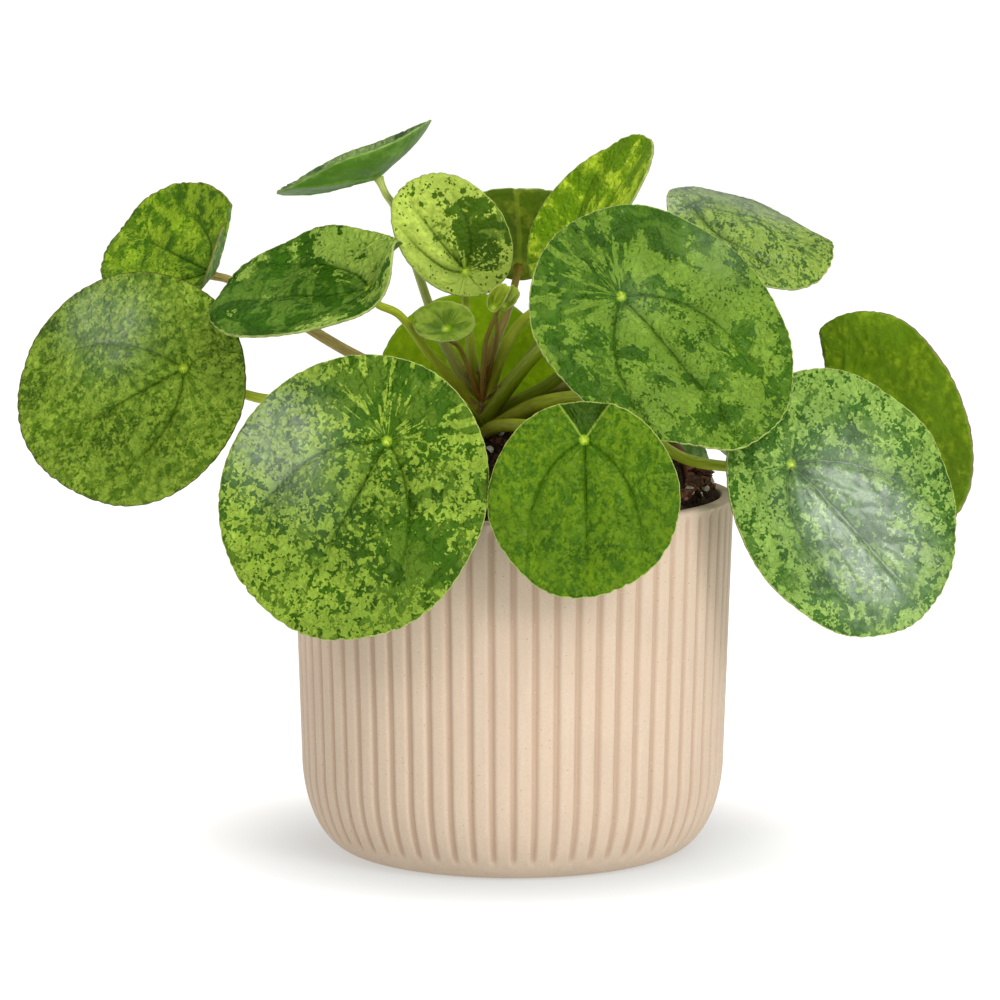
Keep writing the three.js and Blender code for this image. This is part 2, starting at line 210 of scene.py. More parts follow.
# Where each leaf is, in mm and degrees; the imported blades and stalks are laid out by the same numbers:
#   hub      where the stalk joins the blade
#   face     which way the blade looks: azimuth (0 front, 90 right), elevation
#   tip      which way the tip points in the blade's plane: 0 down the slope, 90 to the right
#   length, width, back    the oval, and the share of its length behind the hub
#   side, egg    how far its middle is to the side, how much wider the tip end is
#   cup, bow, heel, fold    how far the sides, the tip, the back and a straight V rise
#   bends    stretches rolled up past a line: direction, start, radius, degrees
#   root     where the stalk leaves the stem: azimuth, height; via what it passes
plants = {
    "far_left": dict(hub=(-105, 6, 153), face=(-12, 12), tip=-57, length=78, width=73, back=0.27, side=-0.05,
                     cup=-3, bow=-5, root=(-95, 138), via=[(-45, 10, 142), (-81, 9, 143)]),
    "upper_left": dict(hub=(-98, 30, 182), face=(-41, 42), tip=-105, length=57, width=47, back=0.16,
                       side=-0.02, cup=6, bow=3, root=(-122, 141), via=[(-54, 24, 157), (-91, 30, 179)]),
    "mid_left": dict(hub=(-45, -14, 180), face=(-38, 53), tip=-70, length=67, width=53, back=0.22,
                     cup=6, bow=1, heel=4, root=(-62, 143),
                     via=[(-20, 9, 150), (-26, 4, 157), (-36, -4, 171)]),
    "top_left": dict(hub=(-43, 10, 214), face=(-90, 66), tip=0, length=54, width=44, back=0.42,
                     cup=8, bow=7, heel=8, root=(-105, 146),
                     via=[(-22, 19, 160), (-27, 22, 172), (-37, 18, 202)]),
    "upper_middle": dict(hub=(-15, 4, 184), face=(6, 8), tip=-137, length=44, width=33, back=0.24, side=-0.14,
                         fold=3, bow=2, root=(-60, 147.5), via=[(-14, 7, 165)]),
    "front_left": dict(hub=(-38, -80, 140), face=(-4, 12), tip=-29, length=88, width=79, back=0.28,
                       cup=-2, bow=-3, root=(-38, 137), via=[(-18, -14, 144), (-30, -48, 144)]),
    "front_middle": dict(hub=(21, -85, 141), face=(0, 10), tip=0, length=59, width=57, back=0.2,
                         cup=-1, bow=-2, root=(-6, 135), via=[(-4, -8, 136), (4, -24, 138), (16, -58, 139)]),
    "upper_right": dict(hub=(33, -50, 181), face=(18, 30), tip=50, length=89, width=75, back=0.31, side=-0.03,
                        egg=-0.1, bow=-3, root=(50, 139), via=[(5, -5, 156), (21, -30, 172)]),
    "top_right": dict(hub=(20, 12, 188), face=(-61, 34), tip=168, length=60, width=48, back=0.26, side=0.03,
                      egg=-0.15, cup=5, bow=2, root=(62, 145), via=[(-2, 11.5, 160), (2.5, 12, 167)]),
    "back_top": dict(hub=(2, 56, 181), face=(175, 20), tip=180, length=34, width=46, back=0.14, egg=0.2,
                     cup=4, bow=-3, root=(165, 146), via=[(-6.5, 25, 157), (-2, 38, 167)]),
    "far_upper_right": dict(hub=(57, 22, 204), face=(22, 61), tip=65, length=57, width=51, back=0.14,
                            fold=-10, bow=-8, root=(76, 141), via=[(12.5, 11, 148), (40, 17, 175)]),
    "far_right": dict(hub=(107, 20, 143), face=(152, 12), tip=5, length=80, width=71, back=0.36, side=-0.14,
                      egg=0.12, cup=-3, bow=-4, bends=[(80, 5, 4, 84)],
                      root=(90, 136), via=[(12, 16, 140), (52, 2, 131)]),
    "front_right": dict(hub=(86, -40, 128), face=(14, 16), tip=26, length=88, width=69, back=0.29, side=0.11,
                        egg=-0.05, cup=2, bow=-3, root=(30, 135),
                        via=[(10, -8, 143.5), (27, -14, 145), (54, -28, 128)]),
    "back_middle": dict(hub=(-15, 66, 145), face=(180, 15), tip=0, length=66, width=60, back=0.42,
                        cup=-2, bow=-2, root=(180, 141), via=[(-12, 40, 144)]),
    "young_left": dict(hub=(-21, -10, 167), face=(-10, 40), tip=-95, length=20, width=15, back=0.45,
                       side=-0.12, cup=1, bow=1, root=(-20, 146), via=[(-17, 2, 160)]),
    "young_middle": dict(hub=(-6, -2, 173), face=(-20, 20), tip=155, length=10, width=8, back=0.15,
                         cup=1, root=(12, 144), via=[(-8.5, 3.5, 162)]),
    "young_right": dict(hub=(-3, 5, 173), face=(40, 30), tip=130, length=12, width=7, back=0.2,
                        cup=1, root=(30, 148), via=[(-5, 8, 164)]),
    "rear_top": dict(hub=(34, 64, 193), face=(165, 50), tip=0, length=46, width=42, back=0.28,
                     cup=2, bow=-3, root=(135, 143), via=[(5, 31, 153), (26, 54, 182)]),
    "rear_left": dict(hub=(-60, 70, 116), face=(-135, 20), tip=0, length=70, width=62, back=0.26,
                      cup=-2, bow=-3, root=(-142, 138), via=[(-30, 40, 143), (-48, 58, 134)]),
    "rear_right": dict(hub=(38, 84, 118), face=(160, 15), tip=0, length=78, width=70, back=0.26,
                       cup=-2, bow=-3, root=(130, 138), via=[(10, 24, 141), (30, 42, 142), (38, 66, 132)]),
    "rear_side": dict(hub=(68, 60, 134), face=(115, 45), tip=0, length=60, width=56, back=0.28,
                      cup=-2, bow=-3, root=(114, 140), via=[(14, 24, 145), (48, 47, 145)]),
}

# How each blade is coloured and finished:
#   dark, light    the two greens of the mottling
#   cover    how much of the blade the light green takes, from -1 to 1
#   grain, soft    the size of its patches in mm, and how soft their edges are
#   frill    how ragged the edges are; dots, flecks: dark specks in the light green, light ones in the dark
#   rays     sectors with streaks from the hub: direction, half angle, how far they go, strength
#   turn     how far the midrib is turned from the oval's long axis
#   gloss    the specular level; wax zones give a clear coat and a faint bloom colour that is painted sheen, written as zones are
#   zones    places that are lighter or darker: direction, distance from the hub, radius, amount
#   curls    stretches rolled up past a line, as bends above, but of the finished blade only
#   hills    places that stand proud: direction, distance from the hub, radius, height
#   pleat    a wedge behind the hub that is folded back: half its angle, how deep at the margin
#   hubShows    whether the pale spot over the stalk shows; waves how wavy the blade is
#   under    the two greens of the underside, made brighter on back_top, far_right and back_middle as painted light shining through them; margin the colour of the edge line
grass, lime = (58, 97, 2), (144, 172, 56)
looks = {
    "far_left": dict(dark=(78, 114, 10), light=(140, 168, 52), cover=-0.02, grain=3, soft=0.18, frill=1.7,
                     dots=0.8, flecks=1.0, rays=[(90, 50, 24, 0.8)], turn=-2, margin=(100, 92, 36),
                     waxAndSheen=[(-60, 30, 14, 0.8)],
                     zones=[(150, 16, 14, 0.25), (-45, 26, 10, -0.25)], hills=[(-44, 26, 13, 2.0)]),
    "upper_left": dict(dark=(72, 117, 4), light=(147, 180, 36), cover=0.02, grain=5, soft=0.12, frill=0.9,
                       dots=0.7, flecks=0.5, rays=[(0, 180, 12, 0.5)], margin=(130, 134, 50),
                       curls=[(199, 2.5, 2.5, 65)]),
    "mid_left": dict(dark=(62, 110, 8), light=(164, 194, 80), cover=-0.2, grain=6, soft=0.02, frill=0.9,
                     dots=0.9, flecks=0.2, rays=[(20, 60, 20, 0.7)],
                     hills=[(0, 46, 20, 4.5), (180, 14, 9, 9)],
                     zones=[(-66, 22, 12, 1.0), (-110, 14, 9, 0.8), (6, 42, 18, -1.5), (30, 18, 12, -1.0),
                            (70, 24, 7, 0.9), (-1, 36, 3.5, 1.4), (11, 44, 4.5, 1.2), (-14, 46, 3, 1.2),
                            (160, 9, 6, 0.6)]),
    "top_left": dict(dark=(60, 106, 30), light=(128, 158, 80), cover=0.0, grain=9, soft=0.02, frill=0.3,
                     dots=0.4, flecks=0.3, rays=[(0, 180, 14, 0.5)], under=((86, 134, 34), (120, 160, 66)),
                     waves=0.25, gloss=0.5, margin=(130, 160, 70)),
    "upper_middle": dict(dark=(72, 108, 2), light=(186, 208, 84), cover=0.65, grain=4, soft=0.05, frill=1.1,
                         dots=1.3, flecks=0.4, waves=0.6, rays=[(0, 180, 14, 0.7)],
                         zones=[(40, 14, 17, 0.4), (-60, 14, 12, -1.9), (160, 8, 8, 0.3)]),
    "front_left": dict(dark=grass, light=lime, cover=-0.02, grain=5, soft=0.025, frill=1.5,
                       dots=1.2, flecks=0.3, rays=[(-165, 80, 56, 1.0)], hills=[(-62, 21, 15, 3.2)],
                       waxAndSheen=[(-60, 33, 15, 1.1), (-20, 30, 10, 0.2)],
                       zones=[(44, 35, 12, -1.1), (-20, 54, 16, 0.3), (18, 54, 12, 0.35),
                              (180, 26, 16, -0.45), (-60, 42, 14, 0.1), (0, 26, 10, -0.1),
                              (-150, 20, 12, -0.2), (70, 26, 9, 0.35)]),
    "front_middle": dict(dark=(60, 100, 2), light=(98, 129, 14), cover=0.0, grain=3, soft=0.2, frill=1.7,
                         dots=0.6, flecks=0.6, rays=[(0, 180, 14, 0.5)], gloss=0.1, pleat=(37, 7)),
    "upper_right": dict(dark=(60, 101, 10), light=(117, 149, 46), cover=-0.04, grain=8, soft=0.016, frill=0.9,
                        dots=1.1, flecks=0.3, rays=[(180, 68, 58, 1.0), (-90, 40, 20, 0.5)], turn=-17,
                        waxAndSheen=[(65, 39, 14, 0.3), (20, 5, 8, 0.2)],
                        zones=[(-156, 22, 14, -0.15), (96, 28, 13, -1.1), (84, 15, 8, 0.8), (46, 30, 14, 0.5),
                               (-48, 16, 10, 0.35), (-8, 50, 18, 0.1), (65, 42, 10, -0.4),
                               (-80, 28, 12, -0.1)]),
    "top_right": dict(dark=(112, 154, 6), light=(184, 212, 48), cover=-0.25, grain=8, soft=0.05, frill=0.4,
                      dots=0.4, flecks=0.2, rays=[(0, 180, 30, 0.8)], waves=0.35,
                      zones=[(180, 12, 12, 0.8), (-30, 20, 9, 0.6)]),
    # back_top's underside greens are brightened as painted light shining through the blade
    "back_top": dict(dark=(58, 104, 24), light=(120, 160, 50), cover=-0.1, grain=8, soft=0.05, frill=0.3,
                     dots=0.2, flecks=0.3, rays=[(0, 180, 14, 0.3)], under=((92, 122, 10), (142, 160, 36))),
    "far_upper_right": dict(dark=(66, 104, 20), light=(146, 172, 66), cover=0.2, grain=3, soft=0.05,
                            frill=1.6, dots=1.8, flecks=0.6, rays=[(0, 180, 10, 0.4)], hubShows=False,
                            gloss=0.3, waxAndSheen=[(90, 20, 14, 1.2), (30, 28, 14, 0.9), (180, 8, 10, 0.6)]),
    # far_right's underside greens are brightened as painted light shining through the blade
    "far_right": dict(dark=(60, 100, 8), light=(130, 160, 40), cover=-0.1, grain=9, soft=0.03, frill=0.4,
                      dots=0.6, flecks=0.3, rays=[(0, 180, 18, 0.5)], margin=(120, 104, 50),
                      under=((103, 140, 4), (142, 172, 22))),
    "front_right": dict(dark=(58, 104, 12), light=(142, 176, 76), cover=0.0, grain=4.5, soft=0.03, frill=1.3,
                        dots=1.0, flecks=0.5, rays=[(0, 180, 12, 0.5)], turn=10, gloss=0.16,
                        waxAndSheen=[(30, 20, 18, 1.0), (10, 44, 18, 0.75)],
                        zones=[(122, 27, 14, 0.5), (62, 46, 12, 0.4), (91, 22, 8, -0.7), (24, 24, 13, -0.7),
                               (-60, 20, 10, 0.3), (0, 45, 14, -0.2), (-166, 14, 8, -0.3)]),
    # back_middle's underside greens are brightened as painted light shining through the blade
    "back_middle": dict(dark=(60, 112, 4), light=(112, 152, 16), cover=-0.1, grain=10, soft=0.06, frill=0.3,
                        dots=0.2, flecks=0.2, rays=[(0, 180, 14, 0.2)],
                        under=((160, 206, 6), (184, 222, 22))),
    "young_left": dict(dark=(104, 140, 22), light=(150, 174, 56), cover=0.1, grain=5, soft=0.1, frill=0.2,
                       dots=0.0, flecks=0.0, rays=[(0, 180, 8, 0.6)], gloss=0.2, margin=(170, 184, 90),
                       under=((120, 150, 40), (150, 176, 70))),
    "young_middle": dict(dark=(140, 166, 26), light=(178, 194, 66), cover=0.1, grain=4, soft=0.1, frill=0.2,
                         dots=0.0, flecks=0.0, rays=[(0, 180, 5, 0.3)], margin=(196, 204, 110),
                         under=((140, 160, 50), (176, 190, 90)),
                         curls=[(90, 0.8, 3, 35), (-90, 0.8, 3, 35)]),
    "young_right": dict(dark=(122, 146, 22), light=(160, 178, 50), cover=0.1, grain=4, soft=0.1, frill=0.2,
                        dots=0.0, flecks=0.0, rays=[(0, 180, 5, 0.3)], margin=(180, 190, 90),
                        under=((130, 148, 36), (160, 176, 60)),
                        curls=[(90, 0.5, 2, 50), (-90, 0.5, 2, 40)]),
    "rear_top": dict(dark=grass, light=lime, cover=0.0, grain=8, soft=0.02, frill=0.8,
                     dots=0.8, flecks=0.4, rays=[(180, 70, 22, 0.8)]),
    "rear_left": dict(dark=(50, 100, 8), light=(132, 168, 54), cover=0.05, grain=8, soft=0.016, frill=0.9,
                      dots=1.0, flecks=0.4, rays=[(150, 70, 30, 0.9)], zones=[(40, 34, 14, -0.6)]),
    "rear_right": dict(dark=grass, light=lime, cover=-0.05, grain=9, soft=0.016, frill=0.8,
                       dots=1.0, flecks=0.4, rays=[(-160, 70, 34, 0.9)], zones=[(-40, 34, 14, 0.4)],
                       curls=[(-90, 14, 8, 80)]),
    "rear_side": dict(dark=(48, 100, 10), light=(134, 170, 62), cover=0.05, grain=8, soft=0.016, frill=0.9,
                      dots=1.0, flecks=0.4, rays=[(180, 80, 24, 0.8)], zones=[(60, 24, 10, -0.5)]),
}

blade = {
    "thickness": 0.75,
    "ringGap": 1.15,  # between rings of the mesh
    "columnGap": 0.8,  # between its columns at the margin
    "wobble": 0.025,  # how far the outline strays from a smooth oval, as a share
    "scallop": 0.42,  # depth of the crenate margin
    "scallopWidth": 4.6,
    "wave": 1.1,  # how far the blade undulates
    "puff": 1.0,  # how far it stands proud between the veins
    "groove": 0.75,  # depth of the veins
    "pucker": 0.32,  # height of the small cells between the finest veins
    "cell": 3.6,  # their size
    "dimple": 1.1,  # how deep the blade dips to its hub
    "margin": (168, 186, 96),  # colour of the edge line, unless a leaf has its own
    "under": ((84, 124, 44), (132, 164, 80)),  # the underside's two greens, likewise
    "hubTones": ((140, 176, 26), (196, 214, 84)),  # the pale spot over the stalk, and its middle
    "pleatEdge": (140, 166, 60),
    # the finest veins show as darker lines, partly their own tone, partly painted shade in their creases
    "net": 0.2,  # how strongly the finest veins show
    "gloss": 0.12,  # the specular level, unless a leaf has its own
    "roughness": (0.28, 0.44),  # of the top, from and to
    "underRoughness": (0.42, 0.58),
    # the bloom colour at the wax zones is painted sheen, mixed into the base colour
    "paintedSheen": 0.14,  # how much of the bloom's colour the wax takes
    "paintedSheenTone": (176, 196, 178),
    "coatIor": 1.9,
    "coatRoughness": 0.38,
}


def seedOf(name):  # the same number each run for one leaf
    return sum((index + 1) * ord(letter) for index, letter in enumerate(name)) % 97


def bladeAxes(leaf):
    azimuth, elevation = (math.radians(angle) for angle in leaf["face"])
    roll = math.radians(leaf["tip"])
    outward = Vector((math.sin(azimuth) * math.cos(elevation), -math.cos(azimuth) * math.cos(elevation),
                      math.sin(elevation)))
    down = Vector((math.sin(azimuth) * math.sin(elevation), -math.cos(azimuth) * math.sin(elevation),
                   -math.cos(elevation)))
    right = outward.cross(down)
    towardsTip = down * math.cos(roll) + right * math.sin(roll)
    return towardsTip, outward.cross(towardsTip), outward


def polar(distance, angle):
    return (distance * math.cos(math.radians(angle)), distance * math.sin(math.radians(angle)))


def veinLines(leaf, turn):  # the midrib, the two arcs beside it, and then the lesser ones
    reach = leaf["length"] * (1 - leaf["back"])
    behind = leaf["length"] * leaf["back"]
    side = leaf.get("side", 0) * leaf["width"]
    share = np.linspace(0, 1, 60)[:, None]

    def arc(*points):
        a, b, c = (np.array(point, dtype=float) for point in points)
        return (1 - share) ** 2 * a + 2 * share * (1 - share) * b + share ** 2 * c

    hub = (0, 0)
    lines = [arc(hub, (reach * 0.5, side * 0.3 + 1), (reach * 0.95, side * 0.6))]
    for sign in (-1, 1):
        wide = leaf["width"] / 2 + sign * side
        lines.append(arc(hub, polar(wide * 0.72, sign * 62), (reach * 0.78, sign * wide * 0.6 + side * 0.3)))
    for sign in (-1, 1):
        wide = leaf["width"] / 2 + sign * side
        lines.append(arc(hub, polar(wide * 0.6, sign * 104), polar(wide * 0.92, sign * 68)))
        lines.append(arc(hub, polar(behind * 0.5, sign * 135), polar(behind * 0.95, sign * 128)))
        for start in (0.28, 0.5, 0.7):  # branches between the midrib and the arcs
            lines.append(arc((reach * start, side * start * 0.6), (reach * (start + 0.12), sign * wide * 0.2),
                             (reach * (start + 0.22), sign * wide * 0.42)))
    lines.append(arc(hub, (-behind * 0.4, 0.5), (-behind * 0.9, 1)))
    cos, sin = math.cos(math.radians(turn)), math.sin(math.radians(turn))
    rotation = np.array([[cos, sin], [-sin, cos]])
    return [line @ rotation for line in lines]


def sideOfVein(line, u, v):  # signed distance, so that it passes through 0 at the vein
    toU, toV = u[:, None] - line[None, :, 0], v[:, None] - line[None, :, 1]
    distance = np.hypot(toU, toV)
    nearest = distance.argmin(axis=1)
    index = np.arange(len(u))
    tangent = np.gradient(line, axis=0)[nearest]
    sign = np.sign(tangent[:, 0] * toV[index, nearest] - tangent[:, 1] * toU[index, nearest])
    return np.where(sign == 0, 1, sign) * distance[index, nearest]


def ringColumns(leaf):  # how many columns each ring of the mesh has: fewer near the hub
    rings = max(9, round(leaf["length"] * 0.58 / blade["ringGap"]))
    most = 8 * max(7, round(math.pi * leaf["length"] / blade["columnGap"] / 8))
    shares = [(ring + 1) / rings for ring in range(rings)]
    fewer = [1 if share > 0.52 else 2 if share > 0.26 else 4 if share > 0.12 else 8 for share in shares]
    return most, shares, [most // divisor for divisor in fewer]


def outlineStray(leaf, name, most):  # how much further out than the smooth oval the margin is, by column
    seed = seedOf(name)
    scallops = round(math.pi * leaf["length"] * 0.96 / blade["scallopWidth"])
    stray = []
    for turn in turnsOf(most):
        around = Vector((math.cos(turn), math.sin(turn), 0))
        slow = noise.noise(around * 1.5 + Vector((seed, 0, 0)))
        shift = 2.2 * noise.noise(around * 5 + Vector((0, seed, 0)))
        depth = 0.6 + 0.9 * noise.noise(around * 8 + Vector((0, 0, seed)))
        tooth = abs(math.sin(scallops * turn / 2 + shift)) - 0.65
        stray.append(blade["wobble"] * slow + 2 * blade["scallop"] / leaf["length"] * depth * tooth)
    return np.array(stray)


def bladeFlat(leaf, name):  # the flat blade: u towards the tip, v to its side, and the faces between rings
    most, shares, counts = ringColumns(leaf)
    stray = outlineStray(leaf, name, most)
    u, v, toRim, starts = [np.zeros(1)], [np.zeros(1)], [np.full(1, 99.0)], [1]
    for share, count in zip(shares, counts):
        turn = np.arange(count) * 2 * math.pi / count
        grow = share * (1 + share ** 3 * stray[::most // count])
        ringU = grow * leaf["length"] * (0.5 - leaf["back"] + np.cos(turn) / 2)
        across = leaf.get("side", 0) + np.sin(turn) * (1 + leaf.get("egg", 0) * np.cos(turn)) / 2
        ringV = grow * leaf["width"] * across
        u.append(ringU)
        v.append(ringV)
        toRim.append(np.hypot(ringU, ringV) * (1 - share) / share)
        starts.append(starts[-1] + count)
    faces = [(0, 1 + column, 1 + (column + 1) % counts[0]) for column in range(counts[0])]
    for ring in range(len(counts) - 1):
        inner, outer, few, many = starts[ring], starts[ring + 1], counts[ring], counts[ring + 1]
        for column in range(few):
            after = (column + 1) % few
            if few == many:
                faces.append((inner + column, outer + column, outer + after, inner + after))
            else:
                middle = outer + 2 * column
                faces.append((inner + column, middle, middle + 1, inner + after))
                faces.append((inner + after, middle + 1, outer + (2 * column + 2) % many))
    return np.concatenate(u), np.concatenate(v), np.concatenate(toRim), faces


def bladeLift(leaf, u, v):
    length, back = leaf["length"], leaf["back"]
    across = v / (leaf["width"] / 2)
    along = np.where(u > 0, u / (length * (1 - back)), u / (length * back))
    rise = np.where(u > 0, leaf.get("bow", 0), leaf.get("heel", 0))
    return (leaf.get("cup", 0) * across ** 2 + rise * along ** 2
            + leaf.get("fold", 0) * (np.hypot(across, 0.15) - 0.15))


def bendBlade(bends, u, v, lift):
    for direction, start, radius, most in bends:
        du, dv = polar(1, direction)
        past = np.maximum(u * du + v * dv - start, 0)
        size, sign = abs(radius), math.copysign(1, radius)
        turn = np.minimum(past / size, math.radians(most))
        straight = past - size * turn
        ahead = size * np.sin(turn) + straight * np.cos(turn) - sign * lift * np.sin(turn) - past
        u, v = u + du * ahead, v + dv * ahead
        lift = lift * np.cos(turn) + sign * (size * (1 - np.cos(turn)) + straight * np.sin(turn))
    return u, v, lift


def bladeRelief(leaf, look, name, u, v, mains, lesser):
    seed = seedOf(name)
    size = leaf["length"] / 80  # small leaves have small features
    distance = np.hypot(u, v)
    fade = 1 - 0.7 * distance / leaf["length"]
    apart = np.min(np.abs(mains), axis=0)
    relief = blade["puff"] * size * (1 - np.exp(-(apart / (6 * size)) ** 1.5))
    relief += 0.9 * size - blade["groove"] * math.sqrt(size) * fade * np.exp(-(apart / (1.1 * size)) ** 2)
    relief -= 0.3 * blade["groove"] * math.sqrt(size) * np.exp(-(np.abs(lesser) / (0.8 * size)) ** 2)
    relief -= blade["dimple"] * size * np.exp(-(distance / (7 * size)) ** 2)
    relief += 0.5 * size * np.exp(-(distance / (1.3 * size)) ** 4)
    for direction, place, radius, height in look.get("hills", []):
        hillU, hillV = polar(place, direction)
        relief += height * np.exp(-((u - hillU) ** 2 + (v - hillV) ** 2) / radius ** 2)
    if "pleat" in look:
        half, depth = look["pleat"]
        aside = np.abs(np.degrees(np.arctan2(v, -u)))
        wedge = smoothStep(1.05, 0.75, aside / half)
        relief -= depth * wedge * smoothStep(2, leaf["length"] * leaf["back"], distance)
    calm = np.clip(distance / (12 * size), 0, 1) * look.get("waves", 1)
    for index in range(len(u)):
        wave = noise.noise(Vector((u[index] / (19 * size), v[index] / (19 * size), seed)))
        gaps, _ = noise.voronoi(Vector((u[index], v[index], seed)) / (blade["cell"] * math.sqrt(size)))
        cell = min((gaps[1] - gaps[0]) * 2.2, 1)
        relief[index] += calm[index] * (blade["wave"] * size * 2 * wave * min(distance[index] / 35 / size, 1)
                                        + blade["pucker"] * size * cell)
    return relief


def zoneSum(least, zones, u, v):
    total = np.full(len(u), least, dtype=float)
    for direction, distance, radius, amount in zones:
        middleU, middleV = polar(distance, direction)
        total += amount * np.exp(-((u - middleU) ** 2 + (v - middleV) ** 2) / radius ** 2)
    return total


def rayShare(look, u, v):  # how much each place takes part in the streaks from the hub
    direction, distance = np.degrees(np.arctan2(v, u)), np.hypot(u, v)
    share = np.zeros(len(u))
    for middle, half, far, strength in look["rays"]:
        aside = np.abs((direction - middle + 180) % 360 - 180)
        share = np.maximum(share, strength * smoothStep(half * 1.2, half * 0.8, aside)
                           * smoothStep(far, far * 0.5, distance))
    return share


def makeBlade(name, leaf, look):
    u, v, toRim, faces = bladeFlat(leaf, name)
    lines = veinLines(leaf, look.get("turn", 0))
    mains = [sideOfVein(line, u, v) for line in lines[:3]]
    lesser = np.min([np.abs(sideOfVein(line, u, v)) for line in lines[3:]], axis=0)
    lift = bladeLift(leaf, u, v) + bladeRelief(leaf, look, name, u, v, mains, lesser)
    flatU, flatV, lift = bendBlade(leaf.get("bends", []) + look.get("curls", []), u, v, lift)
    axes = np.array(bladeAxes(leaf))
    places = np.column_stack([flatU, flatV, lift]) @ axes + np.array(leaf["hub"])
    materials = [bladeTop(name, leaf, look), bladeUnder(name, look), bladeMargin(name, look)]
    piece = newPiece("blade_" + name, places.tolist(), faces, materials)
    setUv(piece.data, np.column_stack([u, v]))
    setAttribute(piece.data, "light", zoneSum(look["cover"], look.get("zones", []), u, v))
    setAttribute(piece.data, "rays", rayShare(look, u, v))
    if "waxAndSheen" in look:
        setAttribute(piece.data, "waxAndSheen", zoneSum(0, look["waxAndSheen"], u, v))
    if "pleat" in look:
        inside = np.radians(look["pleat"][0]) - np.abs(np.arctan2(v, -u))
        setAttribute(piece.data, "wedge", np.where(u < 0, inside * np.hypot(u, v), -9))
    for attributeName, values in zip(("midrib", "leftArc", "rightArc"), mains):
        setAttribute(piece.data, attributeName, values)
    setAttribute(piece.data, "lesser", lesser)
    setAttribute(piece.data, "toRim", toRim)
    thick = piece.modifiers.new("thickness", "SOLIDIFY")
    thick.thickness = blade["thickness"] * mm * min(1, 0.45 + leaf["length"] / 100)
    thick.offset = 0
    thick.material_offset = 1
    thick.material_offset_rim = 2
    finishPiece(piece, "leaf", "leaf_" + name)


# Leaf finishes


def leafPlace(tree, seed):  # place in the blade in mm, distance from the hub, direction from the hub
    flat = node(tree, "UVMap", uv_map="flat").outputs["UV"]
    distance = node(tree, "VectorMath", {0: flat}, operation="LENGTH").outputs["Value"]
    direction = vectors(tree, "NORMALIZE", flat)
    return vectors(tree, "ADD", flat, (0, 0, seed * 7.0)), distance, direction


def closestVein(tree):
    closest = None
    for name in ("midrib", "leftArc", "rightArc"):
        distance = maths(tree, "ABSOLUTE", attribute(tree, name))
        closest = distance if closest is None else maths(tree, "MINIMUM", closest, distance)
    return closest


def mottling(tree, look, seed):  # how far each point is over the edge between the dark and the light green
    place, distance, direction = leafPlace(tree, seed)
    patches = noiseAt(tree, place, 1.0 / look["grain"], 2, 0.5, 0.3)
    around = node(tree, "VectorMath", {0: direction, "Scale": 5.2}, operation="SCALE").outputs["Vector"]
    outward = node(tree, "CombineXYZ", {"Z": maths(tree, "MULTIPLY_ADD", distance, 0.09, seed * 3.0)})
    rays = noiseAt(tree, vectors(tree, "ADD", around, outward.outputs[0]), 1.5, 2, 0.5)
    near = attribute(tree, "rays")
    field = node(tree, "Mix", {0: near, 2: patches, 3: rays}, data_type="FLOAT").outputs[0]
    field = maths(tree, "MULTIPLY_ADD", attribute(tree, "light"), 0.28, field)
    crowd = step(tree, noiseAt(tree, place, 0.07, 2, 0.5), 0.3, 0.75)  # more ragged in some places
    lobes = maths(tree, "SUBTRACT", noiseAt(tree, place, 0.55, 1, 0.5, 0.4), 0.5)
    nibbles = maths(tree, "SUBTRACT", noiseAt(tree, place, 1.3, 1, 0.5), 0.5)
    ragged = maths(tree, "MULTIPLY_ADD", crowd, 0.5 * look["frill"], 0.3 * look["frill"])
    ragged = maths(tree, "MULTIPLY", ragged, maths(tree, "MULTIPLY_ADD", near, -0.7, 1.0))
    field = maths(tree, "MULTIPLY_ADD", lobes, ragged, field)
    field = maths(tree, "MULTIPLY_ADD", nibbles, maths(tree, "MULTIPLY", ragged, 0.7), field)
    field = maths(tree, "MULTIPLY_ADD", step(tree, distance, 6, 1.5), -0.12, field)
    return place, distance, maths(tree, "SUBTRACT", field, 0.5), crowd


def specks(tree, place, scale, crowding):  # round specks, more and larger ones where crowding is high
    stir = noiseAt(tree, place, 1.1, 1, 0.5, output="Color")
    stir = vectors(tree, "MULTIPLY", vectors(tree, "SUBTRACT", stir, (0.5, 0.5, 0.5)), (1.1, 1.1, 1.1))
    cells = node(tree, "TexVoronoi", {"Vector": vectors(tree, "ADD", place, stir), "Scale": scale})
    chance = node(tree, "SeparateColor", {0: cells.outputs["Color"]}).outputs[0]
    radius = maths(tree, "MULTIPLY", maths(tree, "SUBTRACT", crowding, chance), 0.9)
    radius = maths(tree, "MINIMUM", radius, 0.36)
    return step(tree, maths(tree, "SUBTRACT", radius, cells.outputs["Distance"]), -0.03, 0.05)


